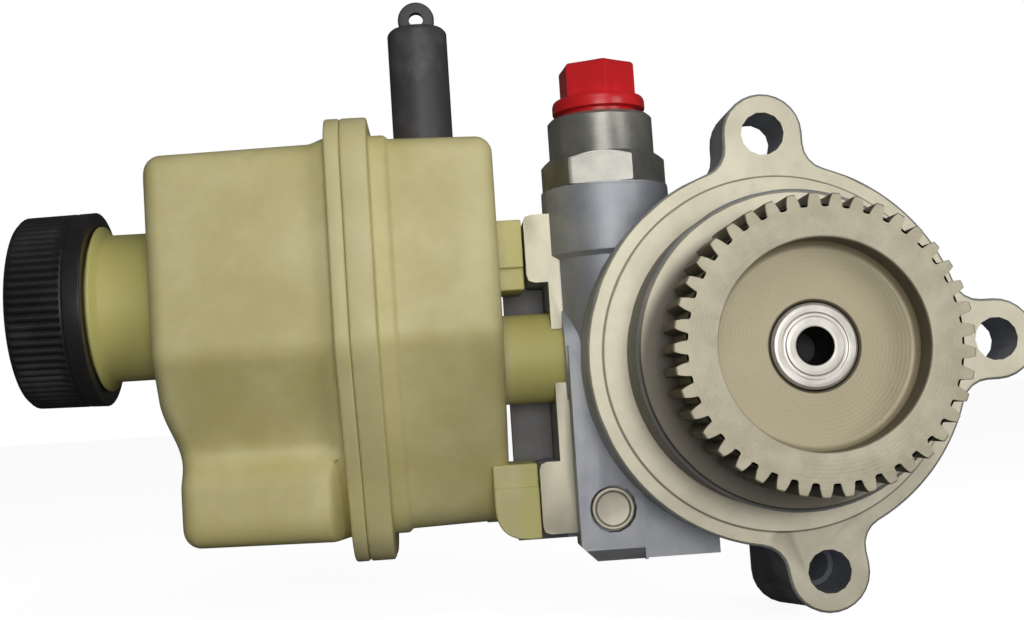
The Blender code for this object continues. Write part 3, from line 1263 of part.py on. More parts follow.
def make_outlet_union():
    """The screwed outlet: spigot, hexagon with chamfered corners and a plain collar."""
    centre = (COLUMN_Y, COLUMN_Z)
    corner = UNION_HEX_FLATS / math.sqrt(3)
    chamfer_start = UNION_HEX_END - UNION_HEX_CHAMFER
    hexagon_part = prism("outlet_union", hexagon(UNION_HEX_FLATS, centre, UNION_HEX_TURN), "X",
                         [(UNION_HEX_START, 0), (UNION_HEX_END, 0)], CAST)
    envelope = turned("envelope", [
        (0, UNION_HEX_START - OVERSHOOT),
        (corner + OVERSHOOT, UNION_HEX_START - OVERSHOOT),
        (corner + OVERSHOOT, UNION_HEX_START),
        (corner, chamfer_start),
        (UNION_HEX_FLATS / 2 - TIP_BREAK, UNION_HEX_END),
        (UNION_HEX_FLATS / 2 - JOIN_DEPTH, UNION_HEX_END + OVERSHOOT),
        (0, UNION_HEX_END + OVERSHOOT),
    ], "X", centre, FINE_COUNT)
    trimmed(hexagon_part, envelope)
    inside = (UNION_HEX_START + UNION_HEX_END) / 2
    join(hexagon_part, turned("collar", [
        (0, inside),
        (UNION_COLLAR_RADIUS, inside),
        (UNION_COLLAR_RADIUS, UNION_END - UNION_COLLAR_CHAMFER),
        (UNION_COLLAR_RADIUS - UNION_COLLAR_CHAMFER, UNION_END),
        (0, UNION_END),
    ], "X", centre))
    join(hexagon_part, turned("spigot", [
        (0, SPIGOT_END),
        (UNION_SPIGOT_RADIUS - EDGE_BREAK, SPIGOT_END),
        (UNION_SPIGOT_RADIUS, SPIGOT_END + EDGE_BREAK),
        (UNION_SPIGOT_RADIUS, inside),
        (0, inside),
    ], "X", centre, INNER_COUNT))
    port_floor = UNION_END - UNION_PORT_DEPTH
    cut(hexagon_part, turned("port", [
        (0, SPIGOT_END - OVERSHOOT),
        (UNION_BORE_RADIUS, SPIGOT_END - OVERSHOOT),
        (UNION_BORE_RADIUS, port_floor),
        (UNION_PORT_RADIUS, port_floor),
        (UNION_PORT_RADIUS, UNION_END + OVERSHOOT),
        (0, UNION_END + OVERSHOOT),
    ], "X", centre, INNER_COUNT))
    dress(hexagon_part, STEEL)
    seal_ring("union_o_ring", SPIGOT_BORE_RADIUS + UNION_SEAL_WIRE, UNION_SEAL_WIRE -
              SEAT_GAP / 2, COLUMN_TOP - UNION_SEAL_WIRE, "X", centre)


def make_outlet_plug():
    """The plastic plug that closes the outlet: spigot, shoulder, round flange and hexagon."""
    centre = (COLUMN_Y, COLUMN_Z)
    shoulder_end = PORT_PLUG_START + PORT_PLUG_SHOULDER_HEIGHT
    flange_end = shoulder_end + PORT_PLUG_FLANGE_HEIGHT
    spigot = UNION_PORT_RADIUS - SEAT_GAP
    foot = PORT_PLUG_START - PORT_PLUG_SPIGOT_LENGTH
    plug = turned("outlet_plug", [
        (0, foot),
        (spigot - EDGE_BREAK, foot),
        (spigot, foot + EDGE_BREAK),
        (spigot, PORT_PLUG_START),
        (PORT_PLUG_SHOULDER_RADIUS, PORT_PLUG_START),
        (PORT_PLUG_SHOULDER_RADIUS, shoulder_end),
        (PORT_PLUG_FLANGE_RADIUS, shoulder_end),
        (PORT_PLUG_FLANGE_RADIUS, flange_end - 2 * PLASTIC_EDGE),
        (PORT_PLUG_FLANGE_RADIUS - SMALL_BREAK, flange_end - SMALL_BREAK),
        (PORT_PLUG_FLANGE_RADIUS - 2 * PLASTIC_EDGE, flange_end),
        (0, flange_end),
    ], "X", centre, ROUND_COUNT, RED_PLASTIC)
    top = flange_end + PORT_PLUG_HEX_HEIGHT
    levels = [(flange_end - JOIN_DEPTH, 0), (top - PLASTIC_EDGE, 0), (top, PLASTIC_EDGE)]
    outline = hexagon(PORT_PLUG_HEX_FLATS, centre, PORT_PLUG_HEX_TURN)
    join(plug, prism("head", outline, "X", levels))
    dress(plug, RED_PLASTIC)


def make_gallery_plug():
    """The round plug pressed into the lower block, slightly dished and bare."""
    front = FLANGE_THICKNESS - PLUG_RISE
    turned("gallery_plug", [
        (0, front + PLUG_DISH),
        (PLUG_RADIUS - PLUG_RIM_FOOT, front + PLUG_DISH),
        (PLUG_RADIUS - PLUG_RIM, front),
        (PLUG_RADIUS - TIP_BREAK, front),
        (PLUG_RADIUS, front + TIP_BREAK),
        (PLUG_RADIUS, FLANGE_THICKNESS + PLUG_DEPTH - SEAT_GAP),
        (0, FLANGE_THICKNESS + PLUG_DEPTH - SEAT_GAP),
    ], "Y", (PLUG_X, PLUG_Z), SMALL_COUNT, CAST)


def section(share, amount):
    """The reservoir's outline: 0 is its lower form and 1 its upper one, grown by an amount."""
    corners = [
        (a[0] + (b[0] - a[0]) * share, a[1] + (b[1] - a[1]) * share)
        for a, b in zip(LOWER_CORNERS, UPPER_CORNERS)
    ]
    back = [(x, corners[-1][1]) for x in BACK_POINTS]
    cuts = CORNER_CUTS[:-1] + (0,) * len(back) + CORNER_CUTS[-1:]
    outline = rounded(corners[:-1] + back + corners[-1:], cuts)
    return grown(outline, amount) if amount else outline


def weld_outline(inset):
    """The weld rim's outline, which stands out further below the lower lobe."""
    outline = []
    for x, y in section(0, WELD_RIM - inset):
        share = (WELD_DROP_FROM - x) / (WELD_DROP_FROM - WELD_DROP_TO)
        outline.append((x - WELD_RIM_DROP * min(1.0, max(0.0, share)), y))
    return outline


def end_height(x, drop):
    """Height of the upper end face, which is lower by the drop beside the lower lobe."""
    share = (RESERVOIR_DROP_FROM - x) / (RESERVOIR_DROP_FROM - RESERVOIR_DROP_TO)
    share = min(1.0, max(0.0, share))
    return RESERVOIR_TOP - drop * share * share * (3 - 2 * share)


def ring_at(outline, height):
    """Outline points at one height, or at a height that is a function of x."""
    if callable(height):
        return [(x, y, height(x)) for x, y in outline]
    return [(x, y, height) for x, y in outline]


def end_rings(share, draft, wall, rounding, heights, direction):
    """Rings that turn the side wall over into the end face."""
    rings = []
    for k in range(END_STEPS + 1):
        angle = math.pi / 2 * k / END_STEPS
        inset = wall + draft + rounding * (1 - math.cos(angle))
        back = wall + rounding * (1 - math.sin(angle))
        rings.append(ring_at(section(share, -inset),
                             lambda x, back=back: heights(x) - direction * back))
    return rings


def upper_top(x):
    return end_height(x, RESERVOIR_TOP_DROP)


def lower_end(x):
    return RESERVOIR_BOTTOM


def reservoir_shell(name, rings):
    """Closes a row of rings whose last one may rise and fall with x."""
    mesh = bmesh.new()
    rows = [[mesh.verts.new(point) for point in ring] for ring in rings]
    count = len(rows[0])
    for low, high in zip(rows, rows[1:]):
        for i in range(count):
            j = (i + 1) % count
            mesh.faces.new((low[i], low[j], high[j], high[i]))
    mesh.faces.new(rows[0])
    lace(mesh, rows[-1])
    return finish(name, mesh, CREAM_PLASTIC, 40.0)


def lace(mesh, ring):
    """Fills a ring with strips that run from its front to its back."""
    top = max(range(len(ring)), key=lambda i: (ring[i].co.x, -ring[i].co.y))
    ring = ring[top:] + ring[:top]
    bottom = min(range(len(ring)), key=lambda i: (ring[i].co.x, ring[i].co.y))
    first, second = ring[:bottom + 1], [ring[0]] + ring[:bottom - 1:-1]
    i = j = 0
    while i < len(first) - 1 or j < len(second) - 1:
        step_first = j == len(second) - 1 or (
            i < len(first) - 1 and first[i + 1].co.x >= second[j + 1].co.x)
        if step_first:
            corners = [first[i], first[i + 1], second[j]]
            i += 1
        else:
            corners = [first[i], second[j + 1], second[j]]
            j += 1
        corners = list(dict.fromkeys(corners))
        if len(corners) == 3:
            mesh.faces.new(corners)


def make_reservoir_upper_half():
    """The filler side: weld rim, tall body with a lobe below, and the neck."""
    low = WELD_Z + SEAT_GAP / 2
    rim = WELD_Z + WELD_UPPER_THICKNESS
    blended = rim + UPPER_BLEND_LENGTH
    outside = [
        ring_at(weld_outline(0), low),
        ring_at(weld_outline(0), rim - WELD_EDGE),
        ring_at(weld_outline(WELD_EDGE), rim),
        ring_at(section(0, 0), rim),
        ring_at(section(0.5, -BLEND_DRAFT / 2), (rim + blended) / 2),
        ring_at(section(1, -BLEND_DRAFT), blended),
    ]
    outside += end_rings(1, UPPER_DRAFT, 0, RESERVOIR_END_ROUNDING, upper_top, 1)
    half = reservoir_shell("reservoir_upper_half", outside)
    wall = RESERVOIR_WALL
    inside = [
        ring_at(section(0, -wall), low - OVERSHOOT),
        ring_at(section(0, -wall), rim),
        ring_at(section(0.5, -wall - BLEND_DRAFT / 2), (rim + blended) / 2),
        ring_at(section(1, -wall - BLEND_DRAFT), blended),
    ]
    inside += end_rings(1, UPPER_DRAFT, wall, RESERVOIR_END_ROUNDING - wall, upper_top, 1)
    centre = (NECK_X, NECK_Y)
    root = RESERVOIR_TOP - wall / 2
    join(half, turned("neck", [
        (0, root),
        (NECK_RADIUS, root),
        (NECK_RADIUS, NECK_COLLAR_FOOT),
        (NECK_COLLAR_RADIUS, NECK_COLLAR_TOP - NECK_COLLAR_EDGE),
        (NECK_COLLAR_RADIUS, NECK_COLLAR_TOP),
        (NECK_THREAD_RADIUS, NECK_COLLAR_TOP),
        (NECK_THREAD_RADIUS, NECK_END - EDGE_BREAK),
        (NECK_THREAD_RADIUS - EDGE_BREAK, NECK_END),
        (0, NECK_END),
    ], "Z", centre))
    cut(half, reservoir_shell("hollow", inside))
    cut(half, rod("bore", NECK_BORE_RADIUS, RESERVOIR_TOP - wall - OVERSHOOT,
                  NECK_END + OVERSHOOT, "Z", centre))
    dress(half, CREAM_PLASTIC, 40.0)


def make_reservoir_lower_half():
    """The pump side: weld rim, tapered body, suction tube, return nipple and two lugs."""
    high = WELD_Z - SEAT_GAP / 2
    rim = WELD_Z - WELD_LOWER_THICKNESS
    outside = [
        ring_at(weld_outline(0), high),
        ring_at(weld_outline(0), rim + WELD_EDGE),
        ring_at(weld_outline(WELD_EDGE), rim),
        ring_at(section(0, 0), rim),
        ring_at(section(0, 0), LOWER_STEP_Z),
        ring_at(section(0, -LOWER_STEP), LOWER_STEP_Z - LOWER_STEP),
    ]
    taper = LOWER_STEP + LOWER_DRAFT
    outside += end_rings(0, taper, 0, RESERVOIR_END_ROUNDING, lower_end, -1)
    half = reservoir_shell("reservoir_lower_half", outside)
    wall = RESERVOIR_WALL
    inside = [
        ring_at(section(0, -wall), high + OVERSHOOT),
        ring_at(section(0, -wall), LOWER_STEP_Z),
        ring_at(section(0, -wall - LOWER_STEP), LOWER_STEP_Z - LOWER_STEP),
    ]
    inside += end_rings(0, taper, wall, RESERVOIR_END_ROUNDING - wall, lower_end, -1)
    suction, nipple = (SUCTION_X, SUCTION_Y), (NIPPLE_Y, NIPPLE_Z)
    root = RESERVOIR_BOTTOM + wall / 2
    crown = NIPPLE_FOOT - LOWER_DRAFT - wall / 2
    join(half, rod("tube", SUCTION_TUBE_RADIUS, SUCTION_TUBE_END, root, "Z", suction))
    join(half, turned("nipple", [
        (0, crown),
        (NIPPLE_RADIUS, crown),
        (NIPPLE_RADIUS, NIPPLE_END - EDGE_BREAK),
        (NIPPLE_RADIUS - EDGE_BREAK, NIPPLE_END),
        (0, NIPPLE_END),
    ], "X", nipple, SMALL_COUNT))
    join(half, upper_lug(), lower_lug())
    cut(half, reservoir_shell("hollow", inside))
    cut(half, rod("bore", SUCTION_TUBE_BORE_RADIUS, SUCTION_TUBE_END - OVERSHOOT,
                  root + OVERSHOOT, "Z", suction))
    cut(half, rod("bore", NIPPLE_BORE_RADIUS, crown - OVERSHOOT, NIPPLE_END + OVERSHOOT, "X",
                  nipple, SMALL_COUNT))
    for x in reservoir_bolt_xs():
        cut(half, rod("hole", RESERVOIR_BOLT_RADIUS + SEAT_GAP, TONGUE_START - SEAT_GAP,
                      TONGUE_BACK + OVERSHOOT, "Y", (x, RESERVOIR_BOLT_Z), TINY_COUNT))
    cut(half, suction_seal_groove())
    dress(half, CREAM_PLASTIC, 40.0)


def suction_seal_height():
    """Middle of the rubber ring on the suction tube, inside the port."""
    return SUCTION_TUBE_END + SUCTION_SEAL_FROM_END


def suction_seal_groove():
    """The groove for that ring."""
    middle, half = suction_seal_height(), SUCTION_SEAL_WIRE + SEAT_GAP / 2
    floor = SUCTION_TUBE_RADIUS - SUCTION_GROOVE_DEPTH
    return tube("groove", SUCTION_TUBE_RADIUS + OVERSHOOT, floor, middle - half, middle + half,
                "Z", (SUCTION_X, SUCTION_Y))


def make_suction_seal():
    floor = SUCTION_TUBE_RADIUS - SUCTION_GROOVE_DEPTH
    room = SUCTION_BORE_RADIUS - floor
    wire = min(SUCTION_SEAL_WIRE, room / 2 - RUNNING_GAP)
    seal_ring("suction_o_ring", floor + room / 2, wire, suction_seal_height(), "Z",
              (SUCTION_X, SUCTION_Y))


def tongue(low, high):
    """The flat end of a lug, behind the bracket's web, which its bolt goes through."""
    return box("tongue", (low + TONGUE_MARGIN, TONGUE_START, TONGUE_END),
               (high - TONGUE_MARGIN, TONGUE_BACK, LUG_ROOT))


def upper_lug():
    """The lug beside the upper pad."""
    low, high = UPPER_LUG
    right, back = PAD_LEFT + 2 * SEAT_GAP, BRACKET_WEB_FRONT - SEAT_GAP
    lug = box("lug", (UPPER_LUG_STEP_AT, LUG_FRONT, right), (high, back, LUG_ROOT))
    join(lug, box("step", (low, LUG_FRONT + LUG_STEP, right), (high - LUG_STEP, back - LUG_STEP,
                                                              LUG_ROOT - LUG_STEP)))
    join(lug, tongue(low, high))
    return lug


def lower_lug():
    """The larger lug beside the lower pad, rounded at its free corner."""
    low, high = LOWER_LUG
    right = PAD_LEFT + 2 * SEAT_GAP
    corners = ((low, right), (high, right), (high, LOWER_LUG_LEFT), (low, LOWER_LUG_LEFT))
    cuts = (SMALL_BREAK, SMALL_BREAK, LUG_CORNER, LOWER_LUG_ROUNDING)
    lug = prism("lug", rounded(corners, cuts), "Y",
                [(LOWER_LUG_FRONT, 0), (BRACKET_WEB_FRONT - SEAT_GAP, 0)])
    room = OVERSHOOT
    cut(lug, box("step", (LOWER_LUG_STEP_AT, LOWER_LUG_FRONT - room, right - room),
                 (high + room, LOWER_LUG_FRONT + LUG_STEP, LOWER_LUG_LEFT + room)))
    join(lug, tongue(low, high))
    return lug


def make_filler_cap():
    """The screw cap: smooth band at its foot, ribs round its side and a plain top."""
    centre = (NECK_X, NECK_Y)
    count = 3 * CAP_RIB_COUNT
    band_top = CAP_FOOT + CAP_BAND_HEIGHT

    def ring(depth, ribs, height):
        points = []
        for i, (u, v) in enumerate(circle(1.0, count)):
            drop = CAP_RIB_DEPTH if ribs and i % 3 == 0 else 0.0
            share = (height - CAP_FOOT) / (CAP_TOP - CAP_FOOT)
            radius = CAP_RADIUS - CAP_DRAFT * share - depth - drop
            points.append((centre[0] + radius * u, centre[1] + radius * v, height))
        return points

    cap = stack("filler_cap", [
        ring(0, False, CAP_FOOT),
        ring(0, False, band_top),
        ring(0, True, band_top + EDGE_BREAK),
        ring(0, True, CAP_TOP - CAP_EDGE),
        ring(CAP_EDGE, False, CAP_TOP),
    ], BLACK_PLASTIC)
    cut(cap, rod("hollow", CAP_INNER_RADIUS, CAP_FOOT - OVERSHOOT, CAP_CEILING, "Z", centre))
    dress(cap, BLACK_PLASTIC)
    tube("cap_gasket", NECK_THREAD_RADIUS, GASKET_INNER_RADIUS, GASKET_START,
         GASKET_START + GASKET_THICKNESS, "Z", centre, finish_values=RUBBER)


def make_nipple_cap():
    """The rubber cap on the return nipple, with a pull loop on its end."""
    centre = (NIPPLE_Y, NIPPLE_Z)
    cap = turned("nipple_cap", [
        (0, RUBBER_FOOT),
        (RUBBER_RADIUS, RUBBER_FOOT),
        (RUBBER_RADIUS, RUBBER_TOP - RUBBER_EDGE),
        (RUBBER_RADIUS - RUBBER_EDGE, RUBBER_TOP),
        (0, RUBBER_TOP),
    ], "X", centre, INNER_COUNT, RUBBER)
    half = LOOP_THICKNESS / 2
    loop = circle(LOOP_RADIUS, SMALL_COUNT, (LOOP_CENTRE, NIPPLE_Z))
    levels = [(NIPPLE_Y - half, PLASTIC_EDGE), (NIPPLE_Y - half + PLASTIC_EDGE, 0),
              (NIPPLE_Y + half - PLASTIC_EDGE, 0), (NIPPLE_Y + half, PLASTIC_EDGE)]
    join(cap, prism("loop", loop, "Y", levels))
    cut(cap, rod("eye", LOOP_HOLE_RADIUS, NIPPLE_Y - LOOP_THICKNESS, NIPPLE_Y + LOOP_THICKNESS,
                 "Y", (LOOP_CENTRE, NIPPLE_Z), TINY_COUNT))
    cut(cap, rod("hollow", NIPPLE_RADIUS + SEAT_GAP, RUBBER_FOOT - OVERSHOOT, RUBBER_TOP -
                 RUBBER_TOP_THICKNESS, "X", centre, SMALL_COUNT))
    dress(cap, RUBBER)


def make_cover_seal():
    seal_ring("cover_o_ring", COVER_SEAL_RADIUS, COVER_SEAL_WIRE - SEAT_GAP / 2,
              HOUSING_END - COVER_SEAL_WIRE, "Y", (0, 0))


def put_origin(name, point):
    """Moves an object's origin to a point without moving its faces."""
    part = bpy.data.objects[name]
    part.data.transform(Matrix.Translation([-value for value in point]))
    part.location = point


def put_origins():
    """Gives each moving piece an origin on its joint's axis."""
    cage_and_balls = [f"bearing_ball_{n + 1}" for n in range(BALL_COUNT)] + ["bearing_cage"]
    spinning = ["drive_shaft", "drive_gear", "bearing_inner_race", "rotor"]
    spinning += [f"vane_{n + 1}" for n in range(VANE_COUNT)]
    for name in cage_and_balls + spinning:
        put_origin(name, (0.0, BEARING_MIDDLE, 0.0))
    for name in ("filler_cap", "cap_gasket"):
        put_origin(name, (NECK_X, NECK_Y, CAP_FOOT))
    put_origin("valve_spool", (SPOOL_FOOT, COLUMN_Y, COLUMN_Z))
    put_origin("outlet_plug", (PORT_PLUG_START, COLUMN_Y, COLUMN_Z))
    put_origin("nipple_cap", (RUBBER_FOOT, NIPPLE_Y, NIPPLE_Z))


def main():
    for old in list(bpy.data.objects):
        bpy.data.objects.remove(old)
    make_pump_body()
    make_rear_cover()
    make_cover_bolts()
    make_cover_seal()
    make_drive_shaft()
    make_drive_gear()
    make_bearing()
    make_snap_ring()
    make_shaft_seal()
    make_bushes()
    make_cartridge()
    make_valve()
    make_outlet_union()
    make_outlet_plug()
    make_gallery_plug()
    make_reservoir_upper_half()
    make_reservoir_lower_half()
    make_suction_seal()
    make_reservoir_bolts()
    make_filler_cap()
    make_nipple_cap()
    put_origins()


main()
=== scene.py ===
"""Looks of a gear driven power steering pump with its moulded fluid reservoir.

The script is laid out as an add-on: one operator for each group of pieces and one for the stage.
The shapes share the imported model's frame: origin on the shaft's axis at the flange's front face,
+Z along the filler neck, -Y out of the gear and +X along the outlet. Lengths are metres.
"""

import math

import bmesh
import bpy
import numpy as np
from bpy.props import FloatProperty, FloatVectorProperty, IntProperty, PointerProperty
from mathutils import Matrix, Vector


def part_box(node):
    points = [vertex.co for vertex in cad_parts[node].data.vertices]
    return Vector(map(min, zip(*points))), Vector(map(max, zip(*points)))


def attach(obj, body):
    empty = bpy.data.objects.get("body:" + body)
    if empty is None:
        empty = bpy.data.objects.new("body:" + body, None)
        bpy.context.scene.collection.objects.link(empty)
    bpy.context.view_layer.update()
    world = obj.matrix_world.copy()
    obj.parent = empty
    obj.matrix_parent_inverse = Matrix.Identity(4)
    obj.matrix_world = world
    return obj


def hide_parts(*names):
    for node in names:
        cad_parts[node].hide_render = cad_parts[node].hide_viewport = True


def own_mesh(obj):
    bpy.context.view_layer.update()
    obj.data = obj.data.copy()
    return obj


bl_info = {
    "name": "Power Steering Pump Looks",
    "version": (1, 0, 0),
    "blender": (4, 5, 0),
    "location": "View3D > Sidebar > Pump",
    "description": "Adds fine surfaces, materials, light and a camera to the packed pump",
    "category": "Object",
}

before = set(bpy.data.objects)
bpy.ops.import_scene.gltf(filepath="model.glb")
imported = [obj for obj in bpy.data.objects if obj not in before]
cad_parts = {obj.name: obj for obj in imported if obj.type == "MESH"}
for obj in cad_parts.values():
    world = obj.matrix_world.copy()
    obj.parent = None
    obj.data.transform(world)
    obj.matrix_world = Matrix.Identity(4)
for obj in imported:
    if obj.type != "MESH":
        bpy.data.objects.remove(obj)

TURN = 2 * math.pi
# For an axis: where an outline's first and second coordinate and its height go
PLACES = {"X": (1, 2, 0), "Y": (0, 2, 1), "Z": (0, 1, 2)}
SHAFT = (0.0, 0.0)
COLUMN = (0.030, 0.0355)
NECK = (0.0233, 0.035)
NIPPLE = (0.035, 0.0818)
SUCTION = (0.0035, 0.034)
# Centres of the flange's ears as (x, z)
EARS = tuple((0.053 * math.cos(math.radians(a)), -0.053 * math.sin(math.radians(a)))
             for a in (0.0, 90.0, 171.5))
BOX = {name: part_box(name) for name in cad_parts}

# Points this close become one, on new surfaces and on copies of CAD nodes
MERGE, CAD_MERGE = 1e-7, 1e-6
# Two ends this close in height and radius belong to an edge that runs round an axis
LEVEL = 2e-5
CAST_EDGE = 0.0006

# Reservoir: corners of its cross-section as (x, y), and the length cut off at each
LOWER_SECTION = ((0.0603, 0.006), (0.0090, 0.006), (-0.0163, 0.0193), (-0.0225, 0.0226),
                 (-0.0396, 0.0316), (-0.0396, 0.064), (0.0603, 0.064))
UPPER_SECTION = ((0.0592, 0.006), (0.0080, 0.006), (-0.0163, 0.0210), (-0.0215, 0.0160),
                 (-0.0396, 0.0160), (-0.0396, 0.064), (0.0592, 0.064))
SECTION_CUTS = (0.008, 0.003, 0.0036, 0.0032, 0.008, 0.008, 0.008)
SECTION_POINTS = 320
# Wall, rounding of the ends, and the weld's rim: how far it stands out and hangs lower
WALL = 0.0025
ROUNDING = 0.0042
RIM = 0.0046
RIM_DROP = 0.0020
# Heights where rim, body and ends lie, and how much the walls draw in
WELD = 0.102
WELD_GAP = 0.00003
UPPER_RIM = 0.1058
UPPER_BODY = 0.1103
UPPER_END = 0.1503
UPPER_DRAFT = 0.0009
BLEND_DRAFT = 0.0002
LOWER_RIM = 0.0954
LOWER_STEP = 0.0915
LOWER_END = 0.065
LOBE_DROP = 0.0037
# Where along x the upper end falls to the lobe, and where the rim starts to hang lower
LOBE_EDGE = (-0.019, -0.002)
RIM_LOW = (-0.038, -0.024)
# Neck with its collar and thread, and where along z the thread runs in and out
NECK_RADIUS = 0.019
NECK_BORE = 0.016
COLLAR_RADIUS = 0.0213
COLLAR_FOOT = 0.1638
COLLAR_TOP = 0.1662
THREAD_PITCH = 0.005
THREAD_DEPTH = 0.0005
THREAD_START = (0.1672, 0.1690)
THREAD_END = (0.1765, 0.1780)
# Suction tube with the groove for its seal
TUBE_RADIUS = 0.0116
TUBE_BORE = 0.0085
SEAL_GROOVE = 0.0012
# Teeth: pressure angle in degrees, depth below the pitch circle in modules, extra half angle
TOOTH_PRESSURE = 14.5
TOOTH_FOOT = 0.87
TOOTH_EXTRA = 0.0042
# Drive gear: depth of its rim and of its dished front, and radii
GEAR_WIDTH = 0.0157
GEAR_DISH = 0.0086
RECESS_RADIUS = 0.0227
RECESS_FLOOR = 0.0211
HUB_RADIUS = 0.0125
HUB_BORE = 0.0098
# Rings of a turned surface: how fast they follow each other, and their depth
RING_PITCH = 9000
RING_DEPTH = 0.000008
ROOM_STRENGTH = 0.06
# A point that sees the whole outline of an end face, as (x, y)
FACE_POINT = (0.0, 0.046)


# Shader maths


class Value:
    """What a node's socket gives. Sums, differences and products of it add Math nodes."""

    def __init__(self, shader, socket):
        self.shader = shader
        self.socket = socket

    def math(self, operation, *others):
        return self.shader.add("ShaderNodeMath", [self, *others], operation=operation)

    def __add__(self, other):
        return self.math("ADD", other)

    __radd__ = __add__

    def __sub__(self, other):
        return self.math("SUBTRACT", other)

    def __rsub__(self, other):
        return self.shader.add("ShaderNodeMath", [other, self], operation="SUBTRACT")

    def __mul__(self, other):
        return self.math("MULTIPLY", other)

    __rmul__ = __mul__

    def step(self, low, high):
        """0 below low and 1 above high, with a smooth run between them."""
        return self.shader.add("ShaderNodeMapRange", [self, low, high],
                               interpolation_type="SMOOTHSTEP")

    def band(self, low, high, soft):
        """1 between low and high, 0 outside them."""
        return self.step(low - soft, low + soft) * (1 - self.step(high - soft, high + soft))


class Shader:
    """A material whose nodes are added by expressions. Unset inputs keep their defaults."""

    def __init__(self, name, **fixed):
        self.material = bpy.data.materials.new(name)
        self.material.use_nodes = True
        self.tree = self.material.node_tree
        self.surface = self.tree.nodes["Principled BSDF"]
        for key, value in fixed.items():
            self.set(key.replace("_", " ").title(), value)
        place = self.tree.nodes.new("ShaderNodeTexCoord").outputs["Object"]
        self.place = Value(self, place)
        split = self.tree.nodes.new("ShaderNodeSeparateXYZ")
        self.tree.links.new(place, split.inputs[0])
        self.x, self.y, self.z = (Value(self, output) for output in split.outputs)

    def feed(self, socket, value):
        if isinstance(value, Value):
            self.tree.links.new(value.socket, socket)
        elif socket.type == "RGBA" and len(value) == 3:
            socket.default_value = (*value, 1.0)
        else:
            socket.default_value = value

    def add(self, kind, values=(), output=0, **settings):
        """A node of a kind, its settings first, then its inputs by position or by name."""
        node = self.tree.nodes.new(kind)
        for key, value in settings.items():
            setattr(node, key, value)
        named = values.items() if isinstance(values, dict) else enumerate(values)
        for key, value in named:
            self.feed(node.inputs[key], value)
        return Value(self, node.outputs[output])

    def set(self, name, value):
        self.feed(self.surface.inputs[name], value)

    def noise(self, scale, detail=4.0, rough=0.6):
        """Noise about 0.5 whose features are 1/scale metres apart."""
        return self.add("ShaderNodeTexNoise", {"Vector": self.place, "Scale": scale,
                                               "Detail": detail, "Roughness": rough})

    def radius(self, first, second, centre):
        """Distance from an axis, from two coordinates and the axis's own."""
        a, b = first - centre[0], second - centre[1]
        return (a * a + b * b).math("SQRT")

    def mix(self, share, low, high):
        """A colour between two colours."""
        node = self.tree.nodes.new("ShaderNodeMix")
        node.data_type = "RGBA"
        for index, value in ((0, share), (6, low), (7, high)):
            self.feed(node.inputs[index], value)
        return Value(self, node.outputs[2])

    def bump(self, height, depth):
        """Raises the surface by the depth in metres where the height is 1."""
        self.set("Normal", self.add("ShaderNodeBump", {"Strength": 1.0, "Distance": depth,
                                                       "Height": height}))


# Surfaces


def place_points(axis, u, v, height):
    """Points (n, 3) whose outline coordinates are u and v, at a height along the axis."""
    points = np.zeros(np.broadcast(u, v, height).shape + (3,))
    for index, value in zip(PLACES[axis], (u, v, height)):
        points[..., index] = value
    return points


def linked(name, data):
    """A new object of the data, unturned at the origin."""
    holder = bpy.data.objects.new(name, data)
    bpy.context.scene.collection.objects.link(holder)
    return holder


def add_mesh(name, points, faces, material, angle=30.0):
    """An object of points and faces, facing out, smooth between edges sharper than the angle."""
    data = bpy.data.meshes.new(name)
    data.from_pydata(np.asarray(points, float), [], faces)
    mesh = bmesh.new()
    mesh.from_mesh(data)
    bmesh.ops.remove_doubles(mesh, verts=mesh.verts, dist=MERGE)
    bmesh.ops.recalc_face_normals(mesh, faces=mesh.faces)
    mesh.to_mesh(data)
    mesh.free()
    data.materials.append(material)
    smooth(data, angle)
    return linked(name, data)


def smooth(data, angle):
    """Smooth shading, with an edge kept sharp where its faces meet at more than the angle."""
    data.shade_smooth()
    data.set_sharp_from_angle(angle=math.radians(angle))


def skin(name, rings, material, hollow=False, angle=30.0):
    """Joins rings (m, n, 3) in order. The ends are closed, or joined to each other."""
    rings = np.asarray(rings)
    count, sides = rings.shape[:2]
    index = np.arange(count * sides).reshape(count, sides)
    following = np.roll(index, -1, axis=1)
    last = count if hollow else count - 1
    upper = np.roll(index, -1, axis=0)[:last], np.roll(following, -1, axis=0)[:last]
    faces = np.stack([index[:last], following[:last], upper[1], upper[0]], axis=-1)
    faces = faces.reshape(-1, 4).tolist()
    if not hollow:
        faces += [index[0].tolist(), index[-1].tolist()]
    return add_mesh(name, rings.reshape(-1, 3), faces, material, angle)


def softened(points, radius, steps=3):
    """The open profile with each inner corner replaced by a curve, radius one or one per point."""
    points = np.asarray(points, float)
    radii = np.broadcast_to(radius, len(points))
    out = [points[0]]
    for i in range(1, len(points) - 1):
        before, here, after = points[i - 1:i + 2]
        reach = min(radii[i], 0.45 * np.linalg.norm(before - here),
                    0.45 * np.linalg.norm(after - here))
        if reach < 1e-6:
            out.append(here)
            continue
        a = (before - here) / np.linalg.norm(before - here)
        b = (after - here) / np.linalg.norm(after - here)
        for s in np.linspace(0, 1, steps + 1):
            out.append(here + a * reach * (1 - s) ** 2 + b * reach * s ** 2)
    out.append(points[-1])
    return np.array(out)


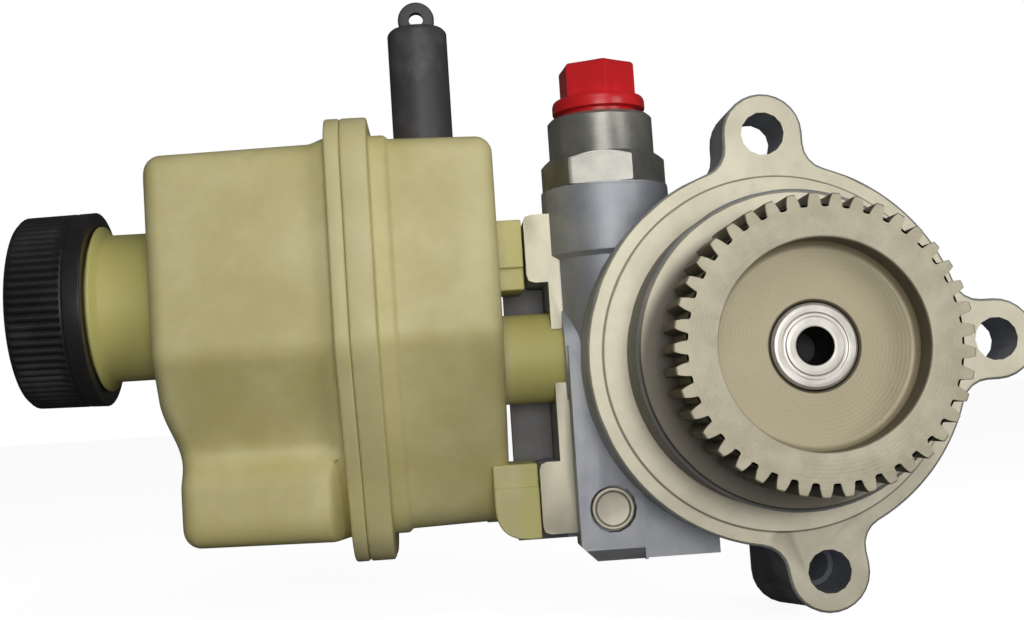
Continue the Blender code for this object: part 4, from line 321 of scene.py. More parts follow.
def lathe(name, axis, centre, profile, material, count=96, radius=0.0003, form=None,
          angle=30.0):
    """Carries a profile of (radius, height) round an axis.

    form(angle, radius, height) may change the radius, which gives ribs and flats. A profile that
    starts and ends on the axis is closed there; any other is joined end to end.
    """
    profile = np.asarray(profile, float)
    solid = profile[0, 0] < 1e-9
    if solid:
        profile = softened(profile, radius)[1:-1]
    else:
        profile = softened(np.vstack([profile, profile[:1]]), radius)[:-1]
    turn = np.arange(count) * TURN / count
    radii, heights = profile[:, :1], profile[:, 1:]
    if form:
        radii = form(turn[None, :], radii, heights)
    rings = place_points(axis, centre[0] + radii * np.cos(turn), centre[1] + radii * np.sin(turn),
                         heights + 0 * turn)
    return skin(name, rings, material, not solid, angle)


def runs(points, step):
    """The profile with extra points along each run longer than the step, for forms with ribs."""
    out = [points[0]]
    for before, here in zip(points, points[1:]):
        parts = max(1, math.ceil(math.dist(before, here) / step))
        share = np.arange(1, parts + 1)[:, None] / parts
        out.extend(np.add(before, share * np.subtract(here, before)).tolist())
    return out


def hexagon_radius(angle, flats, turn):
    """Distance to a hexagon's side: half its width over the cosine from the side's middle."""
    sixth = TURN / 6
    return flats / 2 / np.cos((angle - turn) % sixth - sixth / 2)


def ease(value, low, high):
    """0 below low, 1 above high and a smooth cubic between them."""
    share = np.clip((value - low) / (high - low), 0.0, 1.0)
    return share * share * (3 - 2 * share)


def slab(name, x, y, z, cuts, material, width):
    """A block between two values of x, y and z, its upright corners cut and edges bevelled."""
    corners = np.array([(x[0], z[0]), (x[1], z[0]), (x[1], z[1]), (x[0], z[1])])
    outline = rounded(corners, cuts)
    rings = [place_points("Y", outline[:, 0], outline[:, 1], height) for height in y]
    piece = skin(name, rings, material, angle=40.0)
    round_edges(piece, width)
    return piece


def round_edges(piece, width, angle=35.0):
    """A live bevel on every edge sharper than the angle."""
    bevel = piece.modifiers.new("Rounded edges", "BEVEL")
    bevel.width = width
    bevel.segments = 3
    bevel.limit_method = "ANGLE"
    bevel.angle_limit = math.radians(angle)
    bevel.harden_normals = True


def rounded(corners, cuts, steps=12):
    """A closed outline with a quadratic curve at each corner, between its two cut points."""
    before, after = np.roll(corners, 1, axis=0), np.roll(corners, -1, axis=0)
    to_before = (before - corners) / np.linalg.norm(before - corners, axis=1, keepdims=True)
    to_after = (after - corners) / np.linalg.norm(after - corners, axis=1, keepdims=True)
    s = np.linspace(0, 1, steps + 1)[None, :, None]
    reach = np.asarray(cuts)[:, None, None]
    bend = to_before[:, None] * (1 - s) ** 2 + to_after[:, None] * s ** 2
    return (corners[:, None] + reach * bend).reshape(-1, 2)


def even_places(outline, count):
    """Places at even distances along a closed outline, counted in its points."""
    closed = np.vstack([outline, outline[:1]])
    along = np.concatenate([[0], np.cumsum(np.linalg.norm(np.diff(closed, axis=0), axis=1))])
    even = np.linspace(0, along[-1], count, endpoint=False)
    return np.interp(even, along, np.arange(len(closed)))


def points_at(outline, places):
    """A closed outline's points at the places."""
    closed = np.vstack([outline, outline[:1]])
    return np.stack([np.interp(places, np.arange(len(closed)), column) for column in closed.T], 1)


def rounder(mesh, axis, centre, low, high, cuts=3):
    """Splits edges that run round an axis, and moves their new points out to the same radius."""
    first, second, along = PLACES[axis]

    def polar(points):
        return np.hypot(points[:, first] - centre[0], points[:, second] - centre[1])

    pairs = np.array([[vert.co for vert in edge.verts] for edge in mesh.edges])
    start, end = polar(pairs[:, 0]), polar(pairs[:, 1])
    length = np.linalg.norm(pairs[:, 0] - pairs[:, 1], axis=1)
    level = np.abs(pairs[:, 0, along] - pairs[:, 1, along]) < LEVEL
    within = (start > low) & (start < high) & (length < 0.5 * start)
    round_ones = level & (np.abs(start - end) < LEVEL) & within
    edges = [edge for edge, chosen in zip(mesh.edges, round_ones) if chosen]
    known = np.stack([start[round_ones], pairs[round_ones, 0, along]], axis=1)
    count = len(mesh.verts)
    bmesh.ops.subdivide_edges(mesh, edges=edges, cuts=cuts, use_grid_fill=True)
    mesh.verts.ensure_lookup_table()
    fresh = mesh.verts[count:]
    if not fresh:
        return
    points = np.array([vert.co for vert in fresh])
    radii = polar(points)
    same = (np.abs(known[:, 1] - points[:, along, None]) < LEVEL) & (
        known[:, 0] > radii[:, None] - 1e-6) & (known[:, 0] < radii[:, None] * 1.03)
    target = np.where(same, known[:, 0], np.inf).min(axis=1)
    scale = np.where(np.isfinite(target), target / radii, 1.0)
    for vert, factor in zip(fresh, scale):
        for index, middle in ((first, centre[0]), (second, centre[1])):
            vert.co[index] = middle + (vert.co[index] - middle) * factor


def standing(node, name, material, width=0.0, angle=35.0, circles=()):
    """A copy of a CAD node with merged faces and rounded edges, which stands for that node.

    Each circle is an axis, its centre and the least and greatest radius to make rounder.
    """
    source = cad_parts[node]
    data = source.data.copy()
    data.transform(source.matrix_world)
    mesh = bmesh.new()
    mesh.from_mesh(data)
    bmesh.ops.remove_doubles(mesh, verts=mesh.verts, dist=CAD_MERGE)
    bmesh.ops.dissolve_limit(mesh, angle_limit=math.radians(1.0), verts=mesh.verts,
                             edges=mesh.edges)
    for circle in circles:
        rounder(mesh, *circle)
    mesh.to_mesh(data)
    mesh.free()
    data.materials.clear()
    data.materials.append(material)
    smooth(data, angle)
    piece = linked(name, data)
    if width:
        round_edges(piece, width, angle)
    return piece


# Reservoir surfaces


def section(share, growth):
    """The reservoir's outline, 0 its lower and 1 its upper form, grown along its normals.

    The part of the growth that makes the weld's rim also hangs lower below the lobe.
    """
    lower, upper = np.array(LOWER_SECTION), np.array(UPPER_SECTION)
    places = even_places(rounded((lower + upper) / 2, SECTION_CUTS), SECTION_POINTS)
    outline = points_at(rounded(lower * (1 - share) + upper * share, SECTION_CUTS), places)
    tangent = np.roll(outline, -1, axis=0) - np.roll(outline, 1, axis=0)
    tangent /= np.linalg.norm(tangent, axis=1, keepdims=True)
    normal = np.stack([-tangent[:, 1], tangent[:, 0]], axis=1)
    grown = outline + growth * normal
    grown[:, 0] -= RIM_DROP * np.clip(growth / RIM, 0, 1) * (1 - ease(grown[:, 0], *RIM_LOW))
    return grown


def lobe_drop(x):
    """How far the upper end face lies below its top: a smooth step towards the lower lobe."""
    return LOBE_DROP * (1 - ease(x, *LOBE_EDGE))


def shell_rings(path, top=None):
    """Rings for a path of (growth, z). The upper end's fall grows along the wall up to it."""
    rings = []
    for growth, z in path:
        share = float(ease(z, UPPER_RIM, UPPER_BODY))
        outline = section(share, growth)
        height = np.full(len(outline), z)
        if top:
            way = np.clip((z - UPPER_BODY) / (top - UPPER_BODY), 0, 1)
            height -= lobe_drop(outline[:, 0]) * way
        rings.append(np.column_stack([outline, height]))
    return rings


def straight(start, end, count):
    """Points (growth, z) from the start to the end in even steps, without the first."""
    return np.linspace(start, end, count + 1)[1:]


def corner_path(growth, z, radius, direction, steps=8):
    """The quarter circle that turns a wall at (growth, z) over into the end face."""
    angle = np.linspace(0, math.pi / 2, steps + 1)
    return np.stack([growth - radius * (1 - np.cos(angle)),
                     z + direction * radius * np.sin(angle)], axis=1)


def face_rings(outer, centre, radius, height, steps=14):
    """Rings over an end face, from its outline to a circle, and the circle's angles.

    A ring is the outline drawn in towards the point that sees all of it, blended with the circle
    by the square of the way in. The circle's angles are the directions seen from that point.
    """
    away = outer[:, :2] - FACE_POINT
    turn = np.unwrap(np.arctan2(away[:, 1], away[:, 0]))
    circle = centre + radius * np.stack([np.cos(turn), np.sin(turn)], axis=1)
    way = np.linspace(0, 1, steps + 1)[1:, None, None]
    flat = (FACE_POINT + (1 - way / 2) * away) * (1 - way ** 2) + circle * way ** 2
    return [np.column_stack([ring, height(ring[:, 0])]) for ring in flat], turn


def tube_rings(path, centre, turn, form=None):
    """Rings for a path of (radius, z) round an axis along Z, at the angles given."""
    rings = []
    for radius, z in path:
        if form:
            radius = form(turn, radius, z)
        rings.append(np.column_stack([centre[0] + radius * np.cos(turn),
                                      centre[1] + radius * np.sin(turn), np.full(len(turn), z)]))
    return rings


def neck_thread(turn, radius, z):
    """A rounded helical ridge on the neck: the eighth power of a cosine along its pitch."""
    if radius < NECK_RADIUS:
        return radius
    wave = np.cos((z / THREAD_PITCH - turn / TURN) * math.pi) ** 8
    return radius + THREAD_DEPTH * wave * ease(z, *THREAD_START) * (1 - ease(z, *THREAD_END))


def upper_shell(name, material):
    """One closed skin: rim, body, end face, neck, bore and the inside back to the rim."""
    low = WELD + WELD_GAP
    wall_top = UPPER_END - ROUNDING
    foot = UPPER_RIM + 0.0012
    outside = np.vstack([
        softened([(-WALL, low), (RIM, low), (RIM, UPPER_RIM), (0, UPPER_RIM), (0, foot)], 0.0007),
        straight((0, foot), (-BLEND_DRAFT, UPPER_BODY), 6),
        straight((-BLEND_DRAFT, UPPER_BODY), (-UPPER_DRAFT, wall_top), 8),
        corner_path(-UPPER_DRAFT, wall_top, ROUNDING, 1)[1:],
    ])
    rings = shell_rings(outside, wall_top)
    fillet = 0.0012
    face, turn = face_rings(rings[-1], NECK, NECK_RADIUS + fillet,
                            lambda x: UPPER_END - lobe_drop(x))
    lip = BOX["reservoir_upper_half"][1][2]
    thread = NECK_RADIUS + 0.0002
    neck = softened([(NECK_RADIUS + fillet, UPPER_END), (NECK_RADIUS, UPPER_END),
                     (NECK_RADIUS, COLLAR_FOOT), (COLLAR_RADIUS, COLLAR_TOP - 0.0008),
                     (COLLAR_RADIUS, COLLAR_TOP), (thread, COLLAR_TOP),
                     (thread, COLLAR_TOP + 0.0008)],
                    (0, fillet, 0.0004, 0.0003, 0.0002, 0, 0))[1:].tolist()
    neck += runs([(thread, COLLAR_TOP + 0.0008), (thread, lip - 0.0008)], 0.0005)[1:]
    neck += [(thread, lip - 0.0004), (thread - 0.0004, lip), (NECK_BORE + 0.0003, lip),
             (NECK_BORE, lip - 0.0003), (NECK_BORE, UPPER_END - WALL)]
    rings += face + tube_rings(neck, NECK, turn, neck_thread)
    inside = np.vstack([
        corner_path(-WALL - UPPER_DRAFT, wall_top, ROUNDING - WALL, 1)[::-1],
        straight((-WALL - UPPER_DRAFT, wall_top), (-WALL - BLEND_DRAFT, UPPER_BODY), 4),
        straight((-WALL - BLEND_DRAFT, UPPER_BODY), (-WALL, UPPER_RIM), 4),
    ])
    inner = shell_rings(inside, wall_top)
    ceiling = face_rings(inner[0], NECK, NECK_BORE,
                         lambda x: UPPER_END - WALL - lobe_drop(x), 8)[0]
    return skin(name, rings + ceiling[-2::-1] + inner, material, hollow=True, angle=38.0)


def lower_shell(name, material):
    """One closed skin: rim, stepped body, end face, suction tube, its bore and the inside."""
    high = WELD - WELD_GAP
    turned_in = LOWER_END + ROUNDING
    step, body = -0.001, -0.0015
    outside = np.vstack([
        softened([(-WALL, high), (RIM, high), (RIM, LOWER_RIM), (0, LOWER_RIM), (0, LOWER_STEP),
                  (step, LOWER_STEP + step), (step, LOWER_STEP + 2 * step)], 0.0007),
        straight((step, LOWER_STEP + 2 * step), (body, turned_in), 8),
        corner_path(body, turned_in, ROUNDING, -1)[1:],
    ])
    rings = shell_rings(outside)
    fillet = 0.001
    face, turn = face_rings(rings[-1], SUCTION, TUBE_RADIUS + fillet, lambda x: LOWER_END + 0 * x)
    end = BOX["reservoir_lower_half"][0][2]
    seal_low, seal_high = end + 0.0019, end + 0.0041
    groove = TUBE_RADIUS - SEAL_GROOVE
    tube = softened([(TUBE_RADIUS + fillet, LOWER_END), (TUBE_RADIUS, LOWER_END),
                     (TUBE_RADIUS, seal_high), (groove, seal_high), (groove, seal_low),
                     (TUBE_RADIUS, seal_low), (TUBE_RADIUS, end), (TUBE_BORE, end),
                     (TUBE_BORE, LOWER_END + WALL)], (0, fillet, *[0.0002] * 4, 0.0005, 0.0005, 0))
    rings += face + tube_rings(tube[1:], SUCTION, turn)
    inside = np.vstack([
        corner_path(body - WALL, turned_in, ROUNDING - WALL, -1)[::-1],
        [(step - WALL, LOWER_STEP + step), (-WALL, LOWER_STEP), (-WALL, LOWER_RIM)],
    ])
    inner = shell_rings(inside)
    floor = face_rings(inner[0], SUCTION, TUBE_BORE, lambda x: LOWER_END + WALL + 0 * x, 8)[0]
    return skin(name, rings + floor[-2::-1] + inner, material, hollow=True, angle=38.0)


# Gear


def tooth_outline(settings):
    """Radii and angles all round the gear.

    Each flank is an involute, whose angle at a radius is half the tooth's angle at the pitch
    circle plus the involute function there less that at the radius. A fillet joins it to the root.
    """
    module, teeth = settings.tooth_module, settings.teeth
    pressure = math.radians(TOOTH_PRESSURE)
    pitch = module * teeth / 2
    base, tip, root = pitch * math.cos(pressure), pitch + module, pitch - TOOTH_FOOT * module
    half = math.pi / (2 * teeth) + math.tan(pressure) - pressure + TOOTH_EXTRA
    flank = np.linspace(base * 1.006, tip - 0.00012, 8)
    turn = np.arccos(base / flank)
    flank_angle = half - (np.tan(turn) - turn)
    width = 0.6 * (math.pi / teeth - flank_angle[0])
    curve = np.linspace(0, math.pi / 2, 5)[:-1]
    foot_radius = root + (flank[0] - root) * (1 - np.cos(curve))
    foot = flank_angle[0] + width * (1 - np.sin(curve))
    radius = np.concatenate([foot_radius, flank, [tip]])
    angle = np.concatenate([foot, flank_angle, [flank_angle[-1] - 0.00015 / tip]])
    radius = np.concatenate([radius, [tip], radius[::-1]])
    angle = np.concatenate([-angle, [0.0], angle[::-1]])
    middle = np.arange(teeth) * TURN / teeth
    return np.tile(radius, teeth), (middle[:, None] + angle).ravel()


def gear_skin(name, settings, material):
    """One closed skin round the rim: dished front, teeth, back face, hub and bore."""
    radius, angle = tooth_outline(settings)
    low, high = BOX["drive_gear"]
    front, hub_end = low[1], high[1]
    back, floor = front + GEAR_WIDTH, front + GEAR_DISH
    root = radius.min() - 0.0003
    fillet = RECESS_RADIUS - RECESS_FLOOR
    arc = np.linspace(0, math.pi / 2, 9)
    dish = np.stack([RECESS_FLOOR + fillet * np.sin(arc), floor - fillet * (1 - np.cos(arc))], 1)
    mouth = softened([(RECESS_RADIUS, floor - fillet), (RECESS_RADIUS, front), (root, front),
                      (root + 0.001, front)], 0.0005)[1:-1]
    hub = softened([(root, back), (HUB_RADIUS, back), (HUB_RADIUS, hub_end), (HUB_BORE, hub_end),
                    (HUB_BORE, floor)], (0, 0.002, 0.0006, 0.0006, 0))[:-1]
    plain = np.vstack([[(HUB_BORE, floor + 0.0005), (HUB_BORE + 0.0005, floor)], dish, mouth])
    edge = 0.0003
    toothed = np.array([(-edge, front), (0, front + edge), (0, (front + back) / 2),
                        (0, back - edge), (-edge, back)])
    radii = np.vstack([plain[:, :1] + 0 * radius, toothed[:, :1] + radius,
                       hub[:, :1] + 0 * radius])
    heights = np.concatenate([plain[:, 1], toothed[:, 1], hub[:, 1]])[:, None]
    points = place_points("Y", radii * np.cos(angle), radii * np.sin(angle), heights + 0 * radii)
    return skin(name, points, material, hollow=True, angle=28.0)


# Materials

# Near-black painted shade for the inside of holes
HOLE_SHADE = (0.006, 0.005, 0.004)


def tone(red, green, blue):
    """A linear colour from a display colour of 0 to 255."""
    return tuple(((c / 255 + 0.055) / 1.055) ** 2.4 for c in (red, green, blue))


def cast_aluminium(name, settings):
    """Die-cast housing: grainy and clouded, turned bright on its flange, boss and pads.

    Painted shade: the gear's shadow on the boss beside the gear, shade on the bracket's web at the
    back, and a darker line in the pilot's corner that is partly grime and partly painted shade.
    The boss's wall is darker, partly its unmachined tone and partly painted shade.
    """
    shader = Shader(name, metallic=0.5)
    radius = shader.radius(shader.x, shader.z, SHAFT)
    flange = shader.y.band(-0.0012, 0.0003, 0.0001)
    boss = 1 - shader.y.step(-0.0168, -0.0162)
    pads = shader.y.band(0.0238, 0.0242, 0.0001) * shader.z.step(0.0488, 0.0494)
    turned = (flange + boss).math("MINIMUM", 1.0)
    face = (turned + pads).math("MINIMUM", 1.0)
    # The boss's wall is darker: partly its unmachined tone, partly painted shade from the gear
    wall = shader.y.band(-0.0158, -0.0010, 0.0004)
    # A darker line in the pilot's corner: partly grime, partly painted shade in the step
    line = radius.band(0.0422, 0.0427, 0.00012) * flange
    # Painted shadow: the gear's disc cast on the boss face, a disc offset to the lower left
    gear_shadow_reach = shader.radius(shader.x, shader.z, (-0.0045, 0.0035))
    painted_shade = (1 - gear_shadow_reach.step(0.0315, 0.0358)) * boss
    # Painted shade on the bracket's web at the back of the lugs, where shade falls
    web_shade_mask = shader.z.step(0.0490, 0.0500) * shader.y.step(0.0400, 0.0460)
    grain = shader.noise(2600)
    cloud = shader.noise(70)
    cast = shader.mix(cloud.step(0.35, 0.7), settings.cast_dark, settings.cast_light)
    cast = shader.mix(wall * 0.75, cast, settings.boss_wall_dark_and_shade)
    bright = shader.mix(cloud.step(0.3, 0.75), settings.machined_dark, settings.machined_light)
    colour = shader.mix(face, cast, bright)
    colour = shader.mix(line * 0.8, colour, settings.pilot_grime_and_shade)
    # Painted shade: the gear's shadow on the boss and the shade on the bracket's web at the back
    shader.set("Base Color", shader.mix(painted_shade * 0.85 + web_shade_mask * 0.8, colour, settings.painted_shade))
    shader.set("Roughness", 0.44 + 0.12 * cloud - 0.04 * face)
    rings = (radius * RING_PITCH).math("SINE") * 0.5
    shader.bump(grain * (1 - face) + rings * turned * 0.2, 0.00004)
    return shader.material


def steel(name, light, dark, rough, axis=None, centre=SHAFT, metal=1.0, hole=0.0):
    """Turned steel with rings round an axis, or plain steel without one. A hole's inside is
    painted near-black as shade.
    """
    shader = Shader(name, metallic=metal)
    cloud = shader.noise(130)
    colour = shader.mix(cloud.step(0.3, 0.75), dark, light)
    shader.set("Roughness", rough - 0.06 + 0.12 * cloud)
    if axis:
        first, second, along = ((shader.x, shader.y, shader.z)[i] for i in PLACES[axis])
        radius = shader.radius(first, second, centre)
        if hole:
            # Painted shade: the inside of the hole is near-black
            colour = shader.mix(radius.step(hole, hole + 0.0004), HOLE_SHADE, colour)
        rings = ((radius + along) * RING_PITCH + cloud * 6).math("SINE")
        height = rings * 0.5 + shader.noise(900, 3.0, 0.5) * 0.6
    else:
        height = shader.noise(1500, 3.0, 0.5)
    shader.set("Base Color", colour)
    shader.bump(height, RING_DEPTH)
    return shader.material


def gear_steel(name, settings):
    """Hobbed steel: dull faces with turned rings, a warmer dished floor and dark specks; painted
    shade darkens the tooth flanks, the dish's wall and the bore.
    """
    shader = Shader(name, metallic=0.45)
    radius = shader.radius(shader.x, shader.z, SHAFT)
    cloud = shader.noise(160)
    speck = shader.noise(1400, 3.0)
    rim = shader.mix(cloud.step(0.3, 0.75), settings.gear_dark, settings.gear_light)
    dish = shader.y.step(-0.0335, -0.0325) * (1 - radius.step(0.0226, 0.0229))
    colour = shader.mix(dish, rim, settings.gear_floor)
    # Painted shade: the tooth flanks, the dish's wall and the bore are darkened where shade falls
    side = radius.step(0.0286, 0.0292) + radius.band(0.0217, 0.0230, 0.0004)
    side = side * shader.y.step(-0.0396, -0.0388) * (1 - shader.y.step(-0.0330, -0.0326) * dish)
    side = side + (1 - radius.step(0.0100, 0.0104))
    colour = shader.mix(side.math("MINIMUM", 1.0) * 0.8, colour, settings.gear_speck_and_shade)
    shader.set("Base Color", shader.mix(speck.step(0.62, 0.8) * 0.3, colour, settings.gear_speck_and_shade))
    shader.set("Roughness", 0.44 + 0.14 * cloud)
    shader.bump((radius * 7000 + cloud * 3).math("SINE") * 0.35 + speck * 0.6, 0.000014)
    return shader.material


def nylon(name, settings):
    """Natural nylon: translucent, clouded and finely pitted, yellower at neck and tube."""
    shader = Shader(name, subsurface_weight=0.2, subsurface_scale=0.004, roughness=0.42)
    shader.surface.inputs["Subsurface Radius"].default_value = (1.0, 0.8, 0.35)
    cloud = shader.noise(38)
    speck = shader.noise(520, 3.0)
    colour = shader.mix(cloud.step(0.3, 0.7), settings.nylon_dark, settings.nylon_light)
    fittings = shader.z.step(0.1500, 0.1530) + (1 - shader.z.step(0.0610, 0.0650))
    colour = shader.mix(fittings, colour, settings.nylon_neck)
    rim = shader.z.band(LOWER_RIM, UPPER_RIM, 0.0004)
    colour = shader.mix(rim * 0.35, colour, settings.nylon_rim)
    colour = shader.mix(speck.step(0.60, 0.78) * 0.25, colour, settings.nylon_dark)
    shader.set("Base Color", colour)
    shader.set("Roughness", 0.34 + 0.2 * speck)
    shader.bump(speck * 0.35 + cloud, 0.00014)
    return shader.material


def plastic(name, colour, rough, depth=0.00003, scale=900.0, sheen=1.35):
    """Plain moulded plastic or rubber with a faint texture."""
    shader = Shader(name)
    wear = shader.noise(120)
    lighter = tuple(min(1.0, c * sheen + 0.004) for c in colour)
    shader.set("Base Color", shader.mix(wear.step(0.45, 0.8), tuple(colour), lighter))
    shader.set("Roughness", rough - 0.08 + 0.16 * wear)
    shader.bump(shader.noise(scale, 3.0, 0.5), depth)
    return shader.material


def dress(nodes, material):
    """Gives kept CAD nodes the material."""
    for node in nodes:
        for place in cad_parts[node].material_slots:
            place.material = material


def stands_for(piece, node, body):
    """Lets a new piece ride on a body in place of a CAD node."""
    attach(piece, body)
    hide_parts(node)


# Settings


def shade(name, description, display):
    """A colour property whose default is a display colour of 0 to 255."""
    return FloatVectorProperty(name=name, description=description, subtype="COLOR", size=3,
                               default=tone(*display))


class PumpSettings(bpy.types.PropertyGroup):
    """Colours and sizes that a user may change"""

    cast_light: shade("Casting, light", "The casting where it is cleanest", (190, 191, 194))
    cast_dark: shade("Casting, dark", "The casting where it is dull", (164, 168, 176))
    # Partly the unmachined wall's own tone, partly painted shade from the gear
    boss_wall_dark_and_shade: shade("Casting, boss wall", "The boss's unmachined wall", (88, 84, 76))
    machined_light: shade("Machined, light", "Machined aluminium", (226, 219, 196))
    machined_dark: shade("Machined, dull", "Machined aluminium, dull", (204, 197, 174))
    # Painted shade: the colour of the gear's shadow on the boss and of the shade on the bracket's
    # web
    painted_shade: shade("Oil", "Old oil in the darkest places", (66, 60, 52))
    # A darker line in the pilot's corner: partly grime, partly painted shade in the step
    pilot_grime_and_shade: shade("Pilot line", "Old oil in the corner of the pilot", (96, 84, 66))
    gear_light: shade("Gear, light", "The gear's steel", (198, 191, 167))
    gear_dark: shade("Gear, dark", "The gear's steel where it is dull", (176, 168, 145))
    gear_floor: shade("Gear, floor", "Floor of the dished front", (182, 171, 142))
    # Painted shade on the tooth flanks, the dish's wall and the bore, and the colour of the specks
    gear_speck_and_shade: shade("Gear, gaps", "Oil in the tooth gaps", (62, 56, 46))
    shaft_light: shade("Shaft, light", "The shaft's steel", (232, 228, 220))
    shaft_dark: shade("Shaft, dark", "The shaft's steel where it is dull", (205, 200, 190))
    union_light: shade("Union, light", "The outlet union's steel", (186, 184, 172))
    union_dark: shade("Union, dark", "The union's steel where dull", (156, 155, 148))
    nylon_light: shade("Reservoir, light", "Natural nylon", (230, 220, 164))
    nylon_dark: shade("Reservoir, dark", "Nylon where it is clouded", (210, 199, 134))
    nylon_neck: shade("Reservoir, neck", "Nylon of the neck and tube", (212, 204, 126))
    nylon_rim: shade("Reservoir, rim", "Nylon of the weld rim", (226, 217, 168))
    plug_red: shade("Outlet plug", "Red plastic of the transport plug", (226, 38, 44))
    cap_black: shade("Filler cap", "Black plastic of the cap", (40, 38, 38))
    rubber_black: shade("Nipple cap", "Black rubber", (74, 72, 74))
    teeth: IntProperty(name="Teeth", description="Teeth of the drive gear", default=41, min=12)
    tooth_module: FloatProperty(
        name="Module", description="The gear's module", unit="LENGTH", default=0.0015)
    cap_ribs: IntProperty(
        name="Cap ribs", description="Ribs round the filler cap", default=72, min=8)
    rib_depth: FloatProperty(
        name="Rib depth", description="Depth of the filler cap's ribs", unit="LENGTH",
        default=0.0009)


# Operators


class PUMP_OT_casting(bpy.types.Operator):
    """Housing, rear cover, bolts and the bare round plug"""

    bl_idname = "pump.casting"
    bl_label = "Casting"

    def execute(self, context):
        settings = context.scene.pump
        cast = cast_aluminium("Cast aluminium", settings)
        circles = [("Y", SHAFT, 0.020, 0.060), ("X", COLUMN, 0.008, 0.020)]
        circles += [("Y", centre, 0.004, 0.0105) for centre in EARS]
        for node, name in (("pump_body", "Housing"), ("rear_cover", "Rear_cover")):
            piece = standing(node, name, cast, CAST_EDGE, circles=circles)
            stands_for(piece, node, "housing")
        for name, radius, foot, top in (("Column_top", 0.0165, 0.0290, 0.0460),
                                        ("Column_foot", 0.0147, 0.0050, 0.0290)):
            outer, inner = radius + 0.00003, radius - 0.003
            column = lathe(name, "X", COLUMN, [
                (inner, foot), (outer, foot), (outer, top - CAST_EDGE),
                (outer - CAST_EDGE, top), (inner, top)], cast)
            stands_for(column, "pump_body", "housing")
        zinc = steel("Zinc plated steel", tone(196, 195, 190), tone(166, 165, 160), 0.35)
        dress([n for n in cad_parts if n.startswith(("cover_bolt", "reservoir_bolt"))], zinc)
        bare = steel("Bare plug", tone(200, 194, 176), tone(176, 170, 152), 0.42, metal=0.5)
        low, high = BOX["gallery_plug"]
        centre = ((low[0] + high[0]) / 2, (low[2] + high[2]) / 2)
        front, back = low[1], high[1]
        plug = lathe("Round_plug", "Y", centre, [
            (0, front + 0.0005), (0.0041, front + 0.0005), (0.0044, front), (0.0051, front),
            (0.0053, front + 0.0002), (0.0053, back), (0, back)], bare, 64, 0.0002)
        stands_for(plug, "gallery_plug", "housing")
        return {"FINISHED"}


class PUMP_OT_gear(bpy.types.Operator):
    """Drive gear and the shaft in it"""

    bl_idname = "pump.gear"
    bl_label = "Gear and shaft"

    def execute(self, context):
        settings = context.scene.pump
        gear = gear_skin("Gear", settings, gear_steel("Gear steel", settings))
        stands_for(gear, "drive_gear", "shaft")
        material = steel("Shaft steel", settings.shaft_light, settings.shaft_dark, 0.34, "Y",
                         metal=0.6, hole=0.0041)
        front, end = BOX["drive_shaft"][0][1], BOX["drive_shaft"][1][1]
        face, hole, shoulder = front + 0.0003, front + 0.014, -0.0142
        shaft = lathe("Shaft", "Y", SHAFT, [
            (0, hole + 0.002), (0.00385, hole), (0.00385, front + 0.0004), (0.00425, front),
            (0.0063, front), (0.0065, face), (0.0072, face), (0.0074, front + 0.0001),
            (0.0089, front + 0.0001), (0.0095, front + 0.0008),
            (0.0095, shoulder), (0.0100, shoulder), (0.0100, 0.0001), (0.0090, 0.0004),
            (0.0090, 0.0080), (0.0086, 0.0084), (0.0086, 0.0303), (0.0076, 0.0313),
            (0.0076, 0.0493), (0.0066, 0.0503), (0.0066, end - 0.001), (0.0056, end), (0, end)],
            material, 96, 0.00012)
        stands_for(shaft, "drive_shaft", "shaft")
        return {"FINISHED"}


class PUMP_OT_outlet(bpy.types.Operator):
    """Outlet union and its red transport plug"""

    bl_idname = "pump.outlet"
    bl_label = "Outlet"

    def execute(self, context):
        settings = context.scene.pump
        material = steel("Union steel", settings.union_light, settings.union_dark, 0.34, "X",
                         COLUMN, metal=0.7)
        start, end = BOX["outlet_union"][0][0], BOX["outlet_union"][1][0]
        hex_start, hex_end, port = end - 0.0186, end - 0.0105, end - 0.0085
        turn = math.radians(21.0)

        def union_form(angle, radius, height):
            inside = (height > hex_start - 1e-5) & (height < hex_end + 1e-5) & (radius > 0.0137)
            return np.where(inside, np.minimum(radius, hexagon_radius(angle, 0.028, turn)), radius)

        chamfer = runs([(0.0162, hex_end - 0.0016), (0.0139, hex_end)], 0.0002)
        profile = [(0.005, start), (0.0095, start), (0.0098, start + 0.0003), (0.0098, hex_start),
                   (0.0160, hex_start), (0.0162, hex_start + 0.0003), *chamfer,
                   (0.01365, hex_end), (0.01365, end - 0.0009), (0.01275, end), (0.0078, end),
                   (0.0075, end - 0.0003), (0.0075, port), (0.005, port)]
        union = lathe("Outlet_union", "X", COLUMN, profile, material, 192, 0.00015, union_form,
                      angle=24.0)
        stands_for(union, "outlet_union", "housing")

        red = plastic("Red plastic", settings.plug_red, 0.3, 0.00004, 500.0, 1.2)
        low, top = BOX["outlet_plug"][0][0], BOX["outlet_plug"][1][0]
        seat, flange, head = low + 0.0078, low + 0.0090, low + 0.0127
        turn_head = math.radians(5.5)

        def head_form(angle, radius, height):
            inside = (height > head - 1e-5) & (radius > 0.0075)
            hexagon = hexagon_radius(angle, 0.018, turn_head)
            return np.where(inside, hexagon - (0.0104 - radius), radius)

        profile = [(0, low), (0.0069, low), (0.0072, low + 0.0003), (0.0072, seat),
                   (0.0100, seat), (0.0100, flange), (0.0121, flange), (0.0121, head - 0.0014),
                   (0.0117, head - 0.0004), (0.0107, head - 0.00005), (0.0104, head),
                   (0.0104, top - 0.0007), (0.0097, top), (0, top)]
        plug = lathe("Outlet_plug", "X", COLUMN, profile, red, 144, 0.0004, head_form, angle=28.0)
        stands_for(plug, "outlet_plug", "port_plug")
        return {"FINISHED"}


